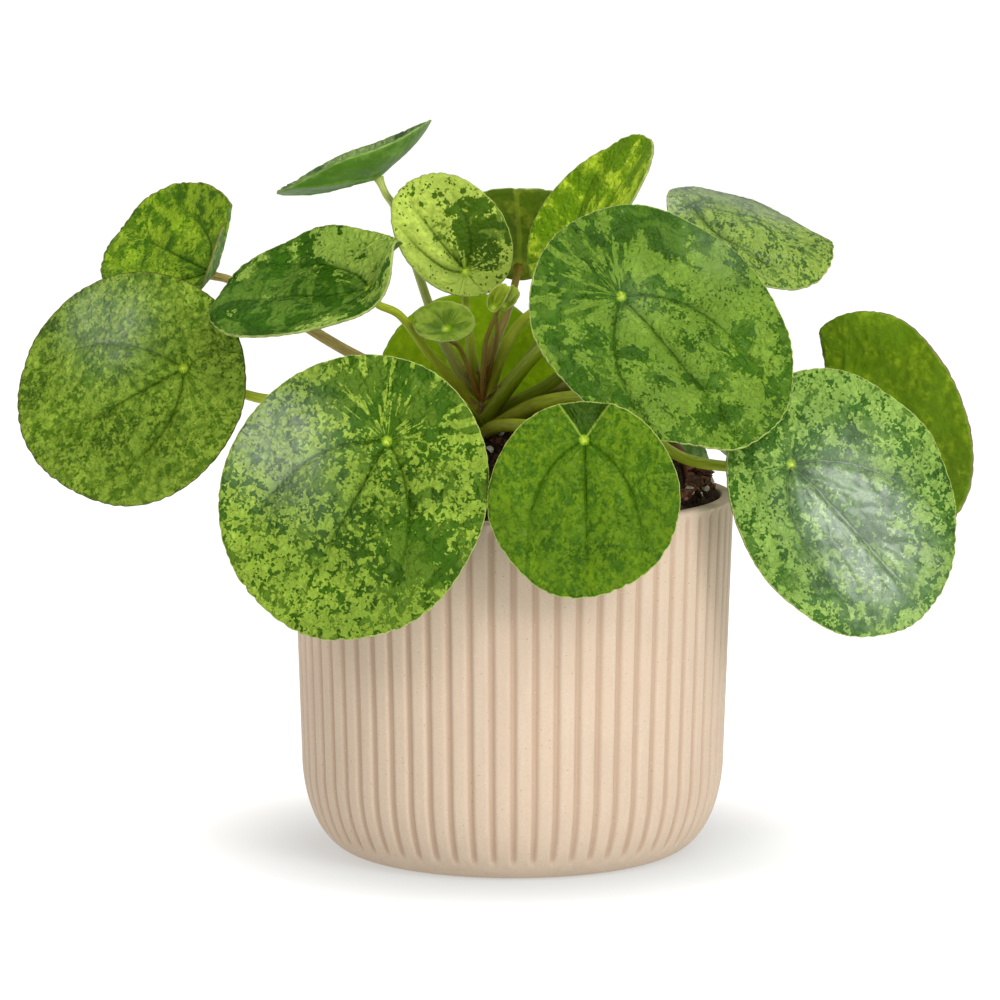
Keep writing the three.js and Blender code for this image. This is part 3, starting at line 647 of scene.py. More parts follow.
def twoGreens(tree, look, place, field, crowd, quick):  # the mottled colour, and its dark green alone
    light = step(tree, field, -look["soft"], look["soft"])
    crowding = maths(tree, "MULTIPLY_ADD", crowd, 0.45 * look["dots"], 0.26 * look["dots"])
    dots = specks(tree, place, 0.8, crowding)
    light = maths(tree, "MULTIPLY", light, maths(tree, "SUBTRACT", 1.0, dots))
    few = maths(tree, "MULTIPLY", step(tree, field, -0.2, -0.08), 0.14 * look["flecks"])
    fleck = specks(tree, vectors(tree, "ADD", place, (9, 4, 2)), 0.9, few)
    slow = noiseAt(tree, place, 0.06, 3, 0.55)
    middling = step(tree, noiseAt(tree, place, 0.13, 3, 0.55, 0.5), 0.49, 0.56)
    dark, bright = rgb(*look["dark"]), rgb(*look["light"])
    midTone = blend(tree, 0.28, dark, bright)
    darkTone = blend(tree, step(tree, slow, 0.35, 0.62), shaded(dark, 0.66), dark)
    darkTone = blend(tree, maths(tree, "MULTIPLY", middling, 0.75), darkTone, midTone)
    lightTone = blend(tree, step(tree, quick, 0.3, 0.7), shaded(bright, 0.86), shaded(bright, 1.22))
    lightTone = blend(tree, step(tree, slow, 0.62, 0.4), lightTone, blend(tree, 0.25, bright, dark))
    colour = blend(tree, light, darkTone, lightTone)
    return blend(tree, maths(tree, "MULTIPLY", fleck, 0.6), colour, lightTone), darkTone


def veinsOver(tree, leaf, colour, dark, darkTone, distance):  # the veins drawn in, and where they are
    closest = closestVein(tree)
    reach = leaf["length"] * (1 - leaf["back"])
    fade = step(tree, distance, reach * 0.95, reach * 0.3)
    vein = maths(tree, "MULTIPLY", step(tree, closest, 0.8, 0.2), fade)
    # the band beside the veins is painted shade in their grooves; the vein lines darken with the veins' own tone and
    # painted groove shade
    grooveShade = maths(tree, "MULTIPLY", step(tree, closest, 2.6, 0.8), fade)
    colour = blend(tree, maths(tree, "MULTIPLY", grooveShade, 0.4), colour, darkTone)
    colour = blend(tree, maths(tree, "MULTIPLY", vein, 0.75), colour, shaded(dark, 0.6))
    # the lesser veins are darkened likewise, partly their own tone, partly painted shade in their grooves
    thin = maths(tree, "MULTIPLY", step(tree, attribute(tree, "lesser"), 0.6, 0.1), 0.22)
    return blend(tree, thin, colour, shaded(dark, 0.75)), vein


def netOver(tree, colour, dark, place, size):  # the finest veins, and how far each point is from them
    stir = noiseAt(tree, place, 0.6, 1, 0.5, output="Color")
    netPlace = vectors(tree, "ADD", place, vectors(tree, "MULTIPLY", stir, (2.2, 2.2, 0)))
    cells = node(tree, "TexVoronoi", {"Vector": netPlace, "Scale": 0.4}, feature="DISTANCE_TO_EDGE")
    cells = cells.outputs["Distance"]
    # the fine net is drawn darker: partly the finest veins' tone, partly painted shade in the creases between the
    # small domes
    net = maths(tree, "MULTIPLY", step(tree, cells, 0.14, 0.02), blade["net"] * size)
    return blend(tree, net, colour, shaded(dark, 0.8)), cells


# a clear coat that catches the lamps, and a faint bloom colour painted into the base colour as sheen
def coatAndSheenOver(tree, shader, colour):  # a clear coat and a faint bloom
    waxAndSheen = attribute(tree, "waxAndSheen")
    tree.links.new(step(tree, waxAndSheen, 0.0, 1.0), shader.inputs["Coat Weight"])
    shader.inputs["Coat IOR"].default_value = blade["coatIor"]
    shader.inputs["Coat Roughness"].default_value = blade["coatRoughness"]
    # the bloom mixed in here is painted sheen at the wax zones
    return blend(tree, maths(tree, "MULTIPLY", waxAndSheen, blade["paintedSheen"]), colour, rgb(*blade["paintedSheenTone"]))


def pleatOver(tree, colour, dark):  # the wedge that is folded back is darker, and pale along its edge
    wedge = attribute(tree, "wedge")
    # the folded-back wedge is darkened as painted shade
    foldShade = maths(tree, "MULTIPLY", step(tree, wedge, -0.2, 0.4), 0.8)
    colour = blend(tree, foldShade, colour, shaded(dark, 0.5))
    edge = step(tree, maths(tree, "ABSOLUTE", wedge), 0.4, 0.15)
    return blend(tree, maths(tree, "MULTIPLY", edge, 0.7), colour, rgb(*blade["pleatEdge"]))


def bladeTop(name, leaf, look):
    size = min(leaf["length"] / 80, 1) ** 1.5  # the fine net is fainter on small leaves
    material, tree, shader = newMaterial("bladeTop_" + name, 0.35, look.get("gloss", blade["gloss"]))
    place, distance, field, crowd = mottling(tree, look, seedOf(name))
    quick = noiseAt(tree, place, 0.5, 4, 0.6)
    dark = rgb(*look["dark"])
    colour, darkTone = twoGreens(tree, look, place, field, crowd, quick)
    colour, vein = veinsOver(tree, leaf, colour, dark, darkTone, distance)
    colour, cells = netOver(tree, colour, dark, place, size)
    if "waxAndSheen" in look:
        colour = coatAndSheenOver(tree, shader, colour)
    if "pleat" in look:
        colour = pleatOver(tree, colour, dark)
    if look.get("hubShows", True):
        spot, middle = (rgb(*tone) for tone in blade["hubTones"])
        hubTone = blend(tree, step(tree, distance, 1.3, 0.3), spot, middle)
        colour = blend(tree, step(tree, distance, 2.0, 1.2), colour, hubTone)
    rim = step(tree, attribute(tree, "toRim"), 0.35, 0.15)
    colour = blend(tree, rim, colour, rgb(*look.get("margin", blade["margin"])))
    tree.links.new(colour, shader.inputs["Base Color"])
    tree.links.new(spread(tree, quick, *blade["roughness"]), shader.inputs["Roughness"])
    height = maths(tree, "MULTIPLY_ADD", quick, 0.4, step(tree, cells, 0.0, 0.4))
    height = maths(tree, "MULTIPLY_ADD", noiseAt(tree, place, 0.22, 2, 0.5, 0.6), 1.2, height)
    height = maths(tree, "MULTIPLY_ADD", vein, -0.5, height)
    addBump(tree, shader, height, 0.8 * size, 0.9)
    return material


def bladeUnder(name, look):
    material, tree, shader = newMaterial("bladeUnder_" + name, 0.5, 0.25)
    place, distance, field, _ = mottling(tree, look, seedOf(name))
    quick = noiseAt(tree, place, 0.35, 4, 0.6)
    dark, bright = (rgb(*tone) for tone in look.get("under", blade["under"]))
    colour = blend(tree, step(tree, field, -0.12, 0.1), dark, bright)
    colour = blend(tree, step(tree, quick, 0.35, 0.7), shaded(dark, 0.85), colour)
    vein = step(tree, closestVein(tree), 1.1, 0.3)
    colour = blend(tree, maths(tree, "MULTIPLY", vein, 0.5), colour, shaded(bright, 1.1))
    atHub = maths(tree, "MULTIPLY", step(tree, distance, 5, 1.5), 0.7)
    colour = blend(tree, atHub, colour, shaded(bright, 1.2))
    tree.links.new(colour, shader.inputs["Base Color"])
    tree.links.new(spread(tree, quick, *blade["underRoughness"]), shader.inputs["Roughness"])
    cells = node(tree, "TexVoronoi", {"Vector": place, "Scale": 0.6}, feature="DISTANCE_TO_EDGE")
    height = maths(tree, "ADD", cells.outputs["Distance"], quick)
    addBump(tree, shader, maths(tree, "ADD", height, vein), 0.25, 0.6)
    return material


def bladeMargin(name, look):
    material, tree, shader = newMaterial("bladeMargin_" + name, 0.45)
    place = objectPlace(tree)
    patchy = noiseAt(tree, place, 0.25, 3, 0.6)
    edge = rgb(*look.get("margin", blade["margin"]))
    colour = blend(tree, step(tree, patchy, 0.35, 0.65), shaded(edge, 0.6), edge)
    tree.links.new(colour, shader.inputs["Base Color"])
    addBump(tree, shader, noiseAt(tree, place, 2.0, 2), 0.1, 0.4)
    return material


for leafName, leaf in plants.items():
    makeBlade(leafName, leaf, looks[leafName])
print("leaf blades made:", len(plants))

# Stem and stalks

stem = {
    "at": (-10, 15),
    "bottom": 127,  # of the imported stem; this one goes on down into the soil
    "top": 150,
    "buried": 5,
    "shorter": 3,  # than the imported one, among the feet of the stalks
    "radius": 3.7,
    "taper": 0.25,  # share of the radius lost from bottom to top
    "scars": 7,
    "scarFree": 9,  # how much of its length has none
    "rows": 56,
    "sides": 40,
    "bark": ((74, 58, 34), (120, 116, 58)),
    "scarTone": (146, 112, 74),
    "crackTone": (50, 38, 24),
}

stalk = {
    "rootRadius": (1.25, 0.0125),  # at least, and what each mm of its length adds
    "tipRadius": (0.9, 0.0045),
    "stout": {  # how thick beside the others
        "upper_right": 1.12, "top_left": 0.9, "young_left": 0.62, "young_middle": 0.62, "young_right": 0.6,
    },
    "sunk": 4,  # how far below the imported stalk's root it leaves the middle of the stem
    "topRun": 6,  # how far it runs straight into the blade
    "shortRun": {"upper_left": 2.2},  # where it would double back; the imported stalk's stays 6
    "step": 1.6,  # between rings
    "sides": 16,
    "skins": {  # at the foot, further out, and the leaves whose stalk it is
        "pale": ((140, 140, 50), (196, 210, 118), {"top_left"}),
        "blush": ((150, 118, 58), (184, 164, 98), {"upper_left"}),
        "lively": ((134, 138, 24), (180, 198, 52), {"mid_left", "front_left", "far_left", "front_middle",
                                                    "front_right", "upper_middle", "top_right"}),
        "dark": ((124, 136, 18), (148, 174, 32), {"upper_right", "far_upper_right", "far_right"}),
        "russet": ((122, 84, 32), (150, 132, 54), {"young_middle", "young_left", "young_right", "back_top"}),
        "plain": ((112, 104, 36), (148, 160, 58), {"back_middle", "rear_top", "rear_left", "rear_right",
                                                   "rear_side"}),
    },
}


def curveThrough(points, stepLength):  # centripetal Catmull-Rom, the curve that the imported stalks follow
    points = [Vector(point) for point in points]
    points = [points[0] * 2 - points[1]] + points + [points[-1] * 2 - points[-2]]
    curve = []
    for index in range(1, len(points) - 2):
        p = points[index - 1:index + 3]
        knots = [0.0]
        for first, second in zip(p, p[1:]):
            knots.append(knots[-1] + max((second - first).length, 1e-4) ** 0.5)
        parts = max(2, round((p[2] - p[1]).length / stepLength))
        for part in range(parts):
            t = knots[1] + (knots[2] - knots[1]) * part / parts
            a = [p[i].lerp(p[i + 1], (t - knots[i]) / (knots[i + 1] - knots[i])) for i in range(3)]
            b = [a[i].lerp(a[i + 1], (t - knots[i]) / (knots[i + 2] - knots[i])) for i in range(2)]
            curve.append(b[0].lerp(b[1], (t - knots[1]) / (knots[2] - knots[1])))
    curve.append(points[-2])
    return curve


def tube(name, path, radiusAt, sides, materials):  # radiusAt(share of the way, angle, distance travelled)
    vertices, uvs, along = [], [], []
    normal = (path[1] - path[0]).orthogonal().normalized()
    travelled = 0
    for index, point in enumerate(path):
        ahead = (path[min(index + 1, len(path) - 1)] - path[max(index - 1, 0)]).normalized()
        normal = (normal - ahead * normal.dot(ahead)).normalized()
        other = ahead.cross(normal)
        if index:
            travelled += (point - path[index - 1]).length
        share = index / (len(path) - 1)
        for side, turn in enumerate(turnsOf(sides)):
            out = normal * math.cos(turn) + other * math.sin(turn)
            vertices.append(point + out * radiusAt(share, turn, travelled))
            uvs.append((travelled, min(side, sides - side)))
            along.append(share)
    piece = newPiece(name, vertices, closedFaces(len(path), sides), materials)
    setUv(piece.data, uvs)
    setAttribute(piece.data, "along", along)
    return piece


def stemRadius(height):
    share = (height - stem["bottom"]) / (stem["top"] - stem["bottom"])
    return stem["radius"] * (1 - stem["taper"] * share)


def stalkPath(name, leaf):
    azimuth, height = math.radians(leaf["root"][0]), leaf["root"][1]
    out = Vector((math.sin(azimuth), -math.cos(azimuth), 0))
    foot = Vector((*stem["at"], height - stalk["sunk"])) + out * 1.2
    outward = bladeAxes(leaf)[2]
    hub = Vector(leaf["hub"])
    run = min(stalk["shortRun"].get(name, stalk["topRun"]), leaf["length"] / 3)
    end = 0.4 + 0.45 * leaf["length"] / 80
    return curveThrough([foot, *leaf["via"], hub - outward * run, hub - outward * end], stalk["step"])


def stalkSkin(name, base, outer):
    material, tree, shader = newMaterial(name, 0.42, 0.25)
    along = attribute(tree, "along")
    place = objectPlace(tree)
    blotch = noiseAt(tree, place, 0.15, 3, 0.6)
    grown = maths(tree, "ADD", along, maths(tree, "MULTIPLY_ADD", blotch, 0.3, -0.15))
    colour = blend(tree, step(tree, grown, 0.08, 0.5), rgb(*base), rgb(*outer))
    flat = node(tree, "UVMap", uv_map="flat").outputs["UV"]
    streak = vectors(tree, "MULTIPLY", flat, (0.1, 1.0, 1))
    lines = noiseAt(tree, streak, 1.6, 3, 0.6)
    shade = blend(tree, step(tree, lines, 0.3, 0.7), (0.72, 0.7, 0.62, 1), (1.1, 1.1, 1.04, 1))
    colour = blend(tree, 1.0, colour, shade, "MULTIPLY")
    tree.links.new(colour, shader.inputs["Base Color"])
    addBump(tree, shader, maths(tree, "ADD", lines, blotch), 0.15, 0.6)
    return material


stalkSkins = {}
for skinName, (nearTone, farTone, names) in stalk["skins"].items():
    skin = stalkSkin("stalk_" + skinName, nearTone, farTone)
    for leafName in names:
        stalkSkins[leafName] = skin


def makeStalk(name, leaf):
    path = stalkPath(name, leaf)
    length = sum((after - before).length for before, after in zip(path, path[1:]))
    stout = stalk["stout"].get(name, 1)
    rootRadius, tipRadius = (stout * (least + more * length) for least, more in
                             (stalk["rootRadius"], stalk["tipRadius"]))

    def radiusAt(share, turn, travelled):
        collar = 0.7 * stout * math.exp(-((length - travelled) / 1.6) ** 2)
        foot = 0.6 * stout * math.exp(-(travelled / 4) ** 2)
        radius = rootRadius + (tipRadius - rootRadius) * share ** 0.7 + collar + foot
        return radius * (1 + 0.04 * math.cos(3 * turn) + 0.04 * math.cos(turn * 2 + travelled * 0.12))

    piece = tube("stalk_" + name, path, radiusAt, stalk["sides"], [stalkSkins[name]])
    finishPiece(piece, "petiole", "petiole_" + name)


def stemBark():
    material, tree, shader = newMaterial("stemBark", 0.65, 0.35)
    place = objectPlace(tree)
    blotch = noiseAt(tree, place, 0.3, 5, 0.65)
    dark, pale = (rgb(*tone) for tone in stem["bark"])
    colour = blend(tree, step(tree, blotch, 0.36, 0.62), dark, pale)
    scar = maths(tree, "MULTIPLY", attribute(tree, "scar"), 0.85)
    colour = blend(tree, scar, colour, rgb(*stem["scarTone"]))
    fine = noiseAt(tree, place, 1.4, 4, 0.6)
    cracks = maths(tree, "MULTIPLY", step(tree, fine, 0.55, 0.7), 0.5)
    colour = blend(tree, cracks, colour, rgb(*stem["crackTone"]))
    tree.links.new(colour, shader.inputs["Base Color"])
    addBump(tree, shader, maths(tree, "ADD", blotch, fine), 0.5, 0.8)
    return material


def scarShape(aside, above):  # how much of a leaf scar is left, at an angle and a height from its middle
    aside = (aside + math.pi) % (2 * math.pi) - math.pi
    return math.exp(-(aside / 0.42) ** 4 - (above / 1.5) ** 4)


def makeStem():
    chance = random.Random(11)
    x, y = stem["at"]
    bottom, top = stem["bottom"] - stem["buried"], stem["top"] - stem["shorter"]
    scarSpan = top - bottom - stem["scarFree"]
    scars = [(chance.uniform(0, 2 * math.pi), stem["bottom"] + scarSpan * index / stem["scars"])
             for index in range(stem["scars"])]
    vertices, scarred = [], []
    for row in range(stem["rows"]):
        height = bottom + (top + 1.2 - bottom) * row / (stem["rows"] - 1)
        shrink = math.sqrt(max(1 - max((height - (top - 2.6)) / 4.0, 0) ** 2, 0.02))
        for turn in turnsOf(stem["sides"]):
            ring = 0.22 * math.sin(height * 1.9 + 1.2 * math.sin(turn)) ** 3
            lump = 0.5 * noise.noise(Vector((math.cos(turn) * 2, math.sin(turn) * 2, height * 0.35)))
            scar = max(scarShape(turn - scarTurn, height - scarHeight) for scarTurn, scarHeight in scars)
            radius = (stemRadius(height) + ring + lump + 0.35 * scar) * shrink
            vertices.append((x + radius * math.cos(turn), y + radius * math.sin(turn), height))
            scarred.append(scar)
    piece = newPiece("stem", vertices, closedFaces(stem["rows"], stem["sides"]), [stemBark()])
    setAttribute(piece.data, "scar", scarred)
    finishPiece(piece, "stem", "main_stem")


stipule = {  # one of the dry scales at the feet of the stalks; pairs are from and to
    "length": (4, 6.5),
    "halfWidth": (1.3, 2),
    "thickness": 0.25,
    "aside": 16,  # degrees at most from its stalk
    "above": (1.5, 3),  # its stalk's root
    "rows": 8,
    "columns": 5,
    "tones": ((104, 70, 40), (186, 156, 108)),
}


def papery():
    material, tree, shader = newMaterial("dryStipule", 0.6, 0.3)
    place = objectPlace(tree)
    fibre = noiseAt(tree, vectors(tree, "MULTIPLY", place, (1.5, 1.5, 0.25)), 1.2, 4, 0.6)
    dark, pale = (rgb(*tone) for tone in stipule["tones"])
    colour = blend(tree, step(tree, fibre, 0.35, 0.65), dark, pale)
    tree.links.new(colour, shader.inputs["Base Color"])
    addBump(tree, shader, fibre, 0.25, 0.8)
    return material


def stipuleFaces(start):  # its two sides, and the rim that joins them
    rows, columns = stipule["rows"], stipule["columns"]
    far = start + rows * columns
    faces = []
    for offset in (start, far):
        for row in range(rows - 1):
            for column in range(columns - 1):
                a = offset + row * columns + column
                quad = (a, a + 1, a + columns + 1, a + columns)
                faces.append(quad if offset == far else quad[::-1])
    left = [row * columns for row in range(rows)]
    tip = [(rows - 1) * columns + column for column in range(1, columns)]
    right = [row * columns + columns - 1 for row in range(rows - 2, -1, -1)]
    rim = left + tip + right + list(range(columns - 2, 0, -1))
    for here, after in zip(rim, rim[1:] + rim[:1]):
        faces.append((start + here, start + after, far + after, far + here))
    return faces


def makeStipules():
    chance = random.Random(5)
    rows, columns = stipule["rows"], stipule["columns"]
    vertices, faces = [], []
    for leaf in plants.values():
        azimuth = math.radians(leaf["root"][0] + chance.uniform(-stipule["aside"], stipule["aside"]))
        height = leaf["root"][1] + chance.uniform(*stipule["above"])
        out = Vector((math.sin(azimuth), -math.cos(azimuth), 0))
        side = out.cross(Vector((0, 0, 1)))
        length, wide = chance.uniform(*stipule["length"]), chance.uniform(*stipule["halfWidth"])
        base = Vector((*stem["at"], height)) + out * (stemRadius(height) - 0.4)
        faces += stipuleFaces(len(vertices))
        for shell in (0, stipule["thickness"]):
            for row in range(rows):
                share = row / (rows - 1)
                width = wide * (1 - share) ** 0.6 * (1 - 0.2 * share) + 0.05
                lean = length * (0.28 * share + 0.5 * share ** 2)
                up = Vector((0, 0, length * 0.75 * share))
                for column in range(columns):
                    across = 2 * column / (columns - 1) - 1
                    place = base + out * (lean - 0.5 * across ** 2 + shell)
                    vertices.append(place + side * (width * across) + up)
    finishPiece(newPiece("stipules", vertices, faces, [papery()]), "petiole")


for leafName, leaf in plants.items():
    makeStalk(leafName, leaf)
makeStem()
makeStipules()
print("stem and stalks made")

# Cover pot

cover = {
    "height": 114,
    "rimRadius": 70.2,
    "shoulderRadius": 67.5,  # where the rounded foot meets the straight wall
    "cornerHeight": 30,
    "footRadius": 51,
    "wall": 4.2,
    "floor": 6,
    "lip": 1.6,  # plain band above the ribs
    "plainFoot": 5,  # plain band below them
    "ribs": 64,
    "ribDepth": 1.15,
    "ribTop": 0.56,  # share of a rib's half width that is nearly flat
    "ribFoot": 0.9,  # and where its flank reaches the bottom of the groove
    "columns": 12,  # of the mesh for each rib
    "clay": (204, 183, 160),
    # clayDeepAndShade darkens the grooves as painted shade, and the clay's grain as its own tone
    "clayDeepAndShade": (180, 151, 127),
    "clayPale": (214, 197, 176),
}


def quarter(inner, outer, low, high, steps):  # a quarter ellipse from (inner, low) to (outer, high)
    turns = [index / steps * math.pi / 2 for index in range(steps + 1)]
    return [(inner + (outer - inner) * math.sin(turn), high - (high - low) * math.cos(turn)) for turn in turns]


def coverProfile():  # up the outside from the middle of the foot, over the lip and down to the inner floor
    c = cover
    outside = quarter(c["footRadius"], c["shoulderRadius"], 0, c["cornerHeight"], 30)
    wall = [(c["shoulderRadius"] + (c["rimRadius"] - c["shoulderRadius"]) * share,
             c["cornerHeight"] + (c["height"] - c["lip"] - c["cornerHeight"]) * share)
            for share in np.linspace(0.04, 1, 34)]
    top, rim, inner = c["height"], c["rimRadius"], c["rimRadius"] - c["wall"]
    lip = [(rim + 0.02, top - 1.2), (rim, top - 0.75), (rim - 0.25, top - 0.3), (rim - 0.75, top - 0.05),
           (rim - 1.3, top), (inner + 1.2, top), (inner + 0.6, top - 0.1), (inner + 0.15, top - 0.5),
           (inner, top - 1.2), (inner - 0.02, top - 4), (inner - 0.4, top - 30)]
    inside = quarter(c["footRadius"] - c["wall"], c["shoulderRadius"] - c["wall"], c["floor"], c["cornerHeight"], 10)
    foot = [(0.01, 0.9), (20, 0.9), (44, 0.9), (45.5, 0.6), (46.2, 0.05), (47, 0), (50, 0)]
    return foot + outside + wall + lip + inside[::-1] + [(30, c["floor"]), (0.01, c["floor"])]


def ribShape(phase):  # 1 on top of a rib, 0 at the bottom of a groove
    away = abs(phase - 0.5) * 2
    return 1 - float(smoothStep(cover["ribTop"], cover["ribFoot"], away)) - 0.1 * min(away, 0.6) ** 2


def makeCoverPot():
    c = cover
    columns = c["ribs"] * c["columns"]
    shapes = [ribShape(column % c["columns"] / c["columns"]) for column in range(columns)]
    profile = coverProfile()
    outer = len(coverProfile()) - 13  # rows after this one are inside the pot
    vertices, grooves, insides = [], [], []
    for row, (radius, height) in enumerate(profile):
        ribbed = row < outer and radius > c["footRadius"]
        share = 0
        if ribbed:
            share = float(smoothStep(c["plainFoot"] - 0.5, c["plainFoot"] + 4, height)
                          * smoothStep(c["height"] - c["lip"] + 0.5, c["height"] - c["lip"] - 1.2, height))
        for column in range(columns):
            turn = column * 2 * math.pi / columns
            depth = c["ribDepth"] * share * (1 - shapes[column])
            sway = 0.12 * noise.noise(Vector((math.cos(turn) * 1.5, math.sin(turn) * 1.5, height / 40)))
            out = radius - depth + (sway if ribbed else 0)
            vertices.append((out * math.cos(turn), out * math.sin(turn), height))
            grooves.append(share * (1 - shapes[column]))
            insides.append(1.0 if row > outer else 0.0)
    faces = gridFaces(len(profile), columns)
    faces.append(tuple(reversed(range(columns))))
    faces.append(tuple(range(len(vertices) - columns, len(vertices))))
    piece = newPiece("coverPot", vertices, faces, [stoneware()])
    setAttribute(piece.data, "groove", grooves)
    setAttribute(piece.data, "inside", insides)
    finishPiece(piece, "stoneware", "cover_pot")


def stoneware():
    material, tree, shader = newMaterial("stoneware", 0.62, 0.35)
    place = objectPlace(tree)
    cloud = noiseAt(tree, place, 0.035, 4, 0.6)
    upright = noiseAt(tree, vectors(tree, "MULTIPLY", place, (1, 1, 0.08)), 0.35, 4, 0.6)
    colour = blend(tree, step(tree, cloud, 0.35, 0.65), rgb(*cover["clay"]), shaded(rgb(*cover["clay"]), 1.06))
    colour = blend(tree, maths(tree, "MULTIPLY", step(tree, upright, 0.4, 0.7), 0.35), colour,
                   rgb(*cover["clayPale"]))
    # darker in the grooves: painted shade
    groove = attribute(tree, "groove")
    colour = blend(tree, maths(tree, "MULTIPLY", step(tree, groove, 0.05, 0.9), 0.6), colour,
                   rgb(*cover["clayDeepAndShade"]))
    colour = blend(tree, attribute(tree, "inside"), colour, rgb(214, 206, 196))
    grain = noiseAt(tree, place, 1.6, 4, 0.7)
    colour = blend(tree, maths(tree, "MULTIPLY", step(tree, grain, 0.6, 0.35), 0.22), colour,
                   rgb(*cover["clayDeepAndShade"]))
    for scale, size, share, tone in ((0.42, 0.1, 0.6, (120, 86, 62)), (0.8, 0.13, 0.35, (140, 104, 78)),
                                     (0.6, 0.12, 0.5, (240, 228, 210))):
        speck = node(tree, "TexVoronoi", {"Vector": place, "Scale": scale})
        rare = node(tree, "SeparateColor", {0: speck.outputs["Color"]}).outputs[0]
        mark = maths(tree, "MULTIPLY", step(tree, speck.outputs["Distance"], size, size * 0.6),
                     step(tree, rare, 0.5, 0.52))
        colour = blend(tree, maths(tree, "MULTIPLY", mark, share), colour, rgb(*tone))
    tree.links.new(colour, shader.inputs["Base Color"])
    tree.links.new(spread(tree, grain, 0.5, 0.72), shader.inputs["Roughness"])
    fine = noiseAt(tree, place, 3.0, 3, 0.6)
    addBump(tree, shader, maths(tree, "ADD", maths(tree, "ADD", fine, grain), upright), 0.05, 0.5)
    return material


makeCoverPot()
print("cover pot made")

# Nursery pot, leaning in the cover pot

nursery = {
    "base": (0, 26, 18),  # centre of its underside
    "lean": 18,  # degrees towards the front
    "height": 108.6,
    "rimRadius": 58,
    "baseRadius": 38,
    "wall": 1.5,
    "band": 5,  # height of the thicker rim band
    "bandProud": 1.2,
    "columns": 144,
}


def leaned(x, y, z):
    tilt = math.radians(nursery["lean"])
    baseX, baseY, baseZ = nursery["base"]
    return (baseX + x, baseY + y * math.cos(tilt) - z * math.sin(tilt),
            baseZ + y * math.sin(tilt) + z * math.cos(tilt))


def nurserySide(height):  # outer radius of the pot's wall
    n = nursery
    return n["baseRadius"] + (n["rimRadius"] - n["bandProud"] - n["baseRadius"]) * height / (n["height"] - n["band"])


def redPlastic():
    material, tree, shader = newMaterial("redPlastic", 0.5)
    place = objectPlace(tree)
    cloud = noiseAt(tree, place, 0.08, 4, 0.6)
    colour = blend(tree, step(tree, cloud, 0.35, 0.65), rgb(112, 62, 44), rgb(140, 84, 60))
    dust = noiseAt(tree, place, 0.6, 5, 0.7)
    colour = blend(tree, maths(tree, "MULTIPLY", step(tree, dust, 0.52, 0.7), 0.45), colour, rgb(170, 136, 112))
    tree.links.new(colour, shader.inputs["Base Color"])
    tree.links.new(spread(tree, dust, 0.4, 0.65), shader.inputs["Roughness"])
    addBump(tree, shader, maths(tree, "ADD", dust, noiseAt(tree, place, 2.5, 3)), 0.08, 0.6)
    return material


def makeNurseryPot():
    n = nursery
    top, rim, band = n["height"], n["rimRadius"], n["height"] - n["band"]
    outside = [(nurserySide(height), height) for height in np.linspace(1.2, band - 0.6, 22)]
    rolled = [(rim - 0.5, band - 0.2), (rim - 0.1, band + 0.3), (rim, band + 1), (rim, top - 1.3),
              (rim - 0.25, top - 0.5), (rim - 0.8, top), (rim - 1.6, top - 0.1), (rim - 2.2, top - 0.5)]
    inner = rim - n["bandProud"] - n["wall"]
    inside = [(inner - 0.2, top - 1.4), (inner - 0.6, top - 5), (inner - 4, top - 24), (n["baseRadius"] - 1.6, 1.8),
              (20, 1.5), (0.01, 1.5)]
    profile = [(0.01, 0.4), (12, 0.4), (30, 0.4), (31, 0), (n["baseRadius"] - 1, 0), (n["baseRadius"] - 0.3, 0.3)]
    profile += outside + rolled + inside
    vertices = []
    for radius, height in profile:
        for column in range(n["columns"]):
            turn = column * 2 * math.pi / n["columns"]
            ridge = 0.25 * max(math.cos(turn * 24), 0) ** 6 if 6 < height < band - 4 and radius > inner - 20 else 0
            vertices.append(leaned((radius + ridge) * math.cos(turn), (radius + ridge) * math.sin(turn), height))
    faces = gridFaces(len(profile), n["columns"])
    faces.append(tuple(reversed(range(n["columns"]))))
    faces.append(tuple(range(len(vertices) - n["columns"], len(vertices))))
    piece = newPiece("nurseryPot", vertices, faces, [redPlastic()])
    finishPiece(piece, "nursery_plastic", "nursery_pot")


makeNurseryPot()
print("nursery pot made")

# Potting mix: soil in the nursery pot and round it, with bark chips, perlite and crumbs

mix = {
    "belowRim": 2,
    "mound": 6,
    "moundSpread": 19,
    "atWall": 111,  # height of the outer soil at the cover pot's wall
    "rise": 5,
    "relief": 1.1,
    "heap": (-14, 30, 8),  # where the outer soil is heaped up: direction, half angle, height
}


def soilSkin():
    material, tree, shader = newMaterial("pottingMix", 0.92, 0.2)
    place = objectPlace(tree)
    clump = noiseAt(tree, place, 0.3, 5, 0.65)
    colour = blend(tree, step(tree, clump, 0.38, 0.62), rgb(30, 21, 16), rgb(74, 52, 38))
    fibre = noiseAt(tree, vectors(tree, "MULTIPLY", place, (1, 0.35, 1)), 1.6, 4, 0.7)
    colour = blend(tree, maths(tree, "MULTIPLY", step(tree, fibre, 0.58, 0.68), 0.7), colour, rgb(122, 84, 58))
    grit = node(tree, "TexVoronoi", {"Vector": place, "Scale": 0.7}).outputs["Distance"]
    colour = blend(tree, maths(tree, "MULTIPLY", step(tree, grit, 0.14, 0.08), 0.5), colour, rgb(196, 184, 170))
    tree.links.new(colour, shader.inputs["Base Color"])
    addBump(tree, shader, maths(tree, "ADD", clump, fibre), 0.9, 0.9)
    return material


soil = soilSkin()


def stemInNursery():
    tilt = math.radians(nursery["lean"])
    x, y = stem["at"]
    _, baseY, baseZ = nursery["base"]
    over, up = y - baseY, stem["bottom"] - baseZ
    return x, over * math.cos(tilt) + up * math.sin(tilt)


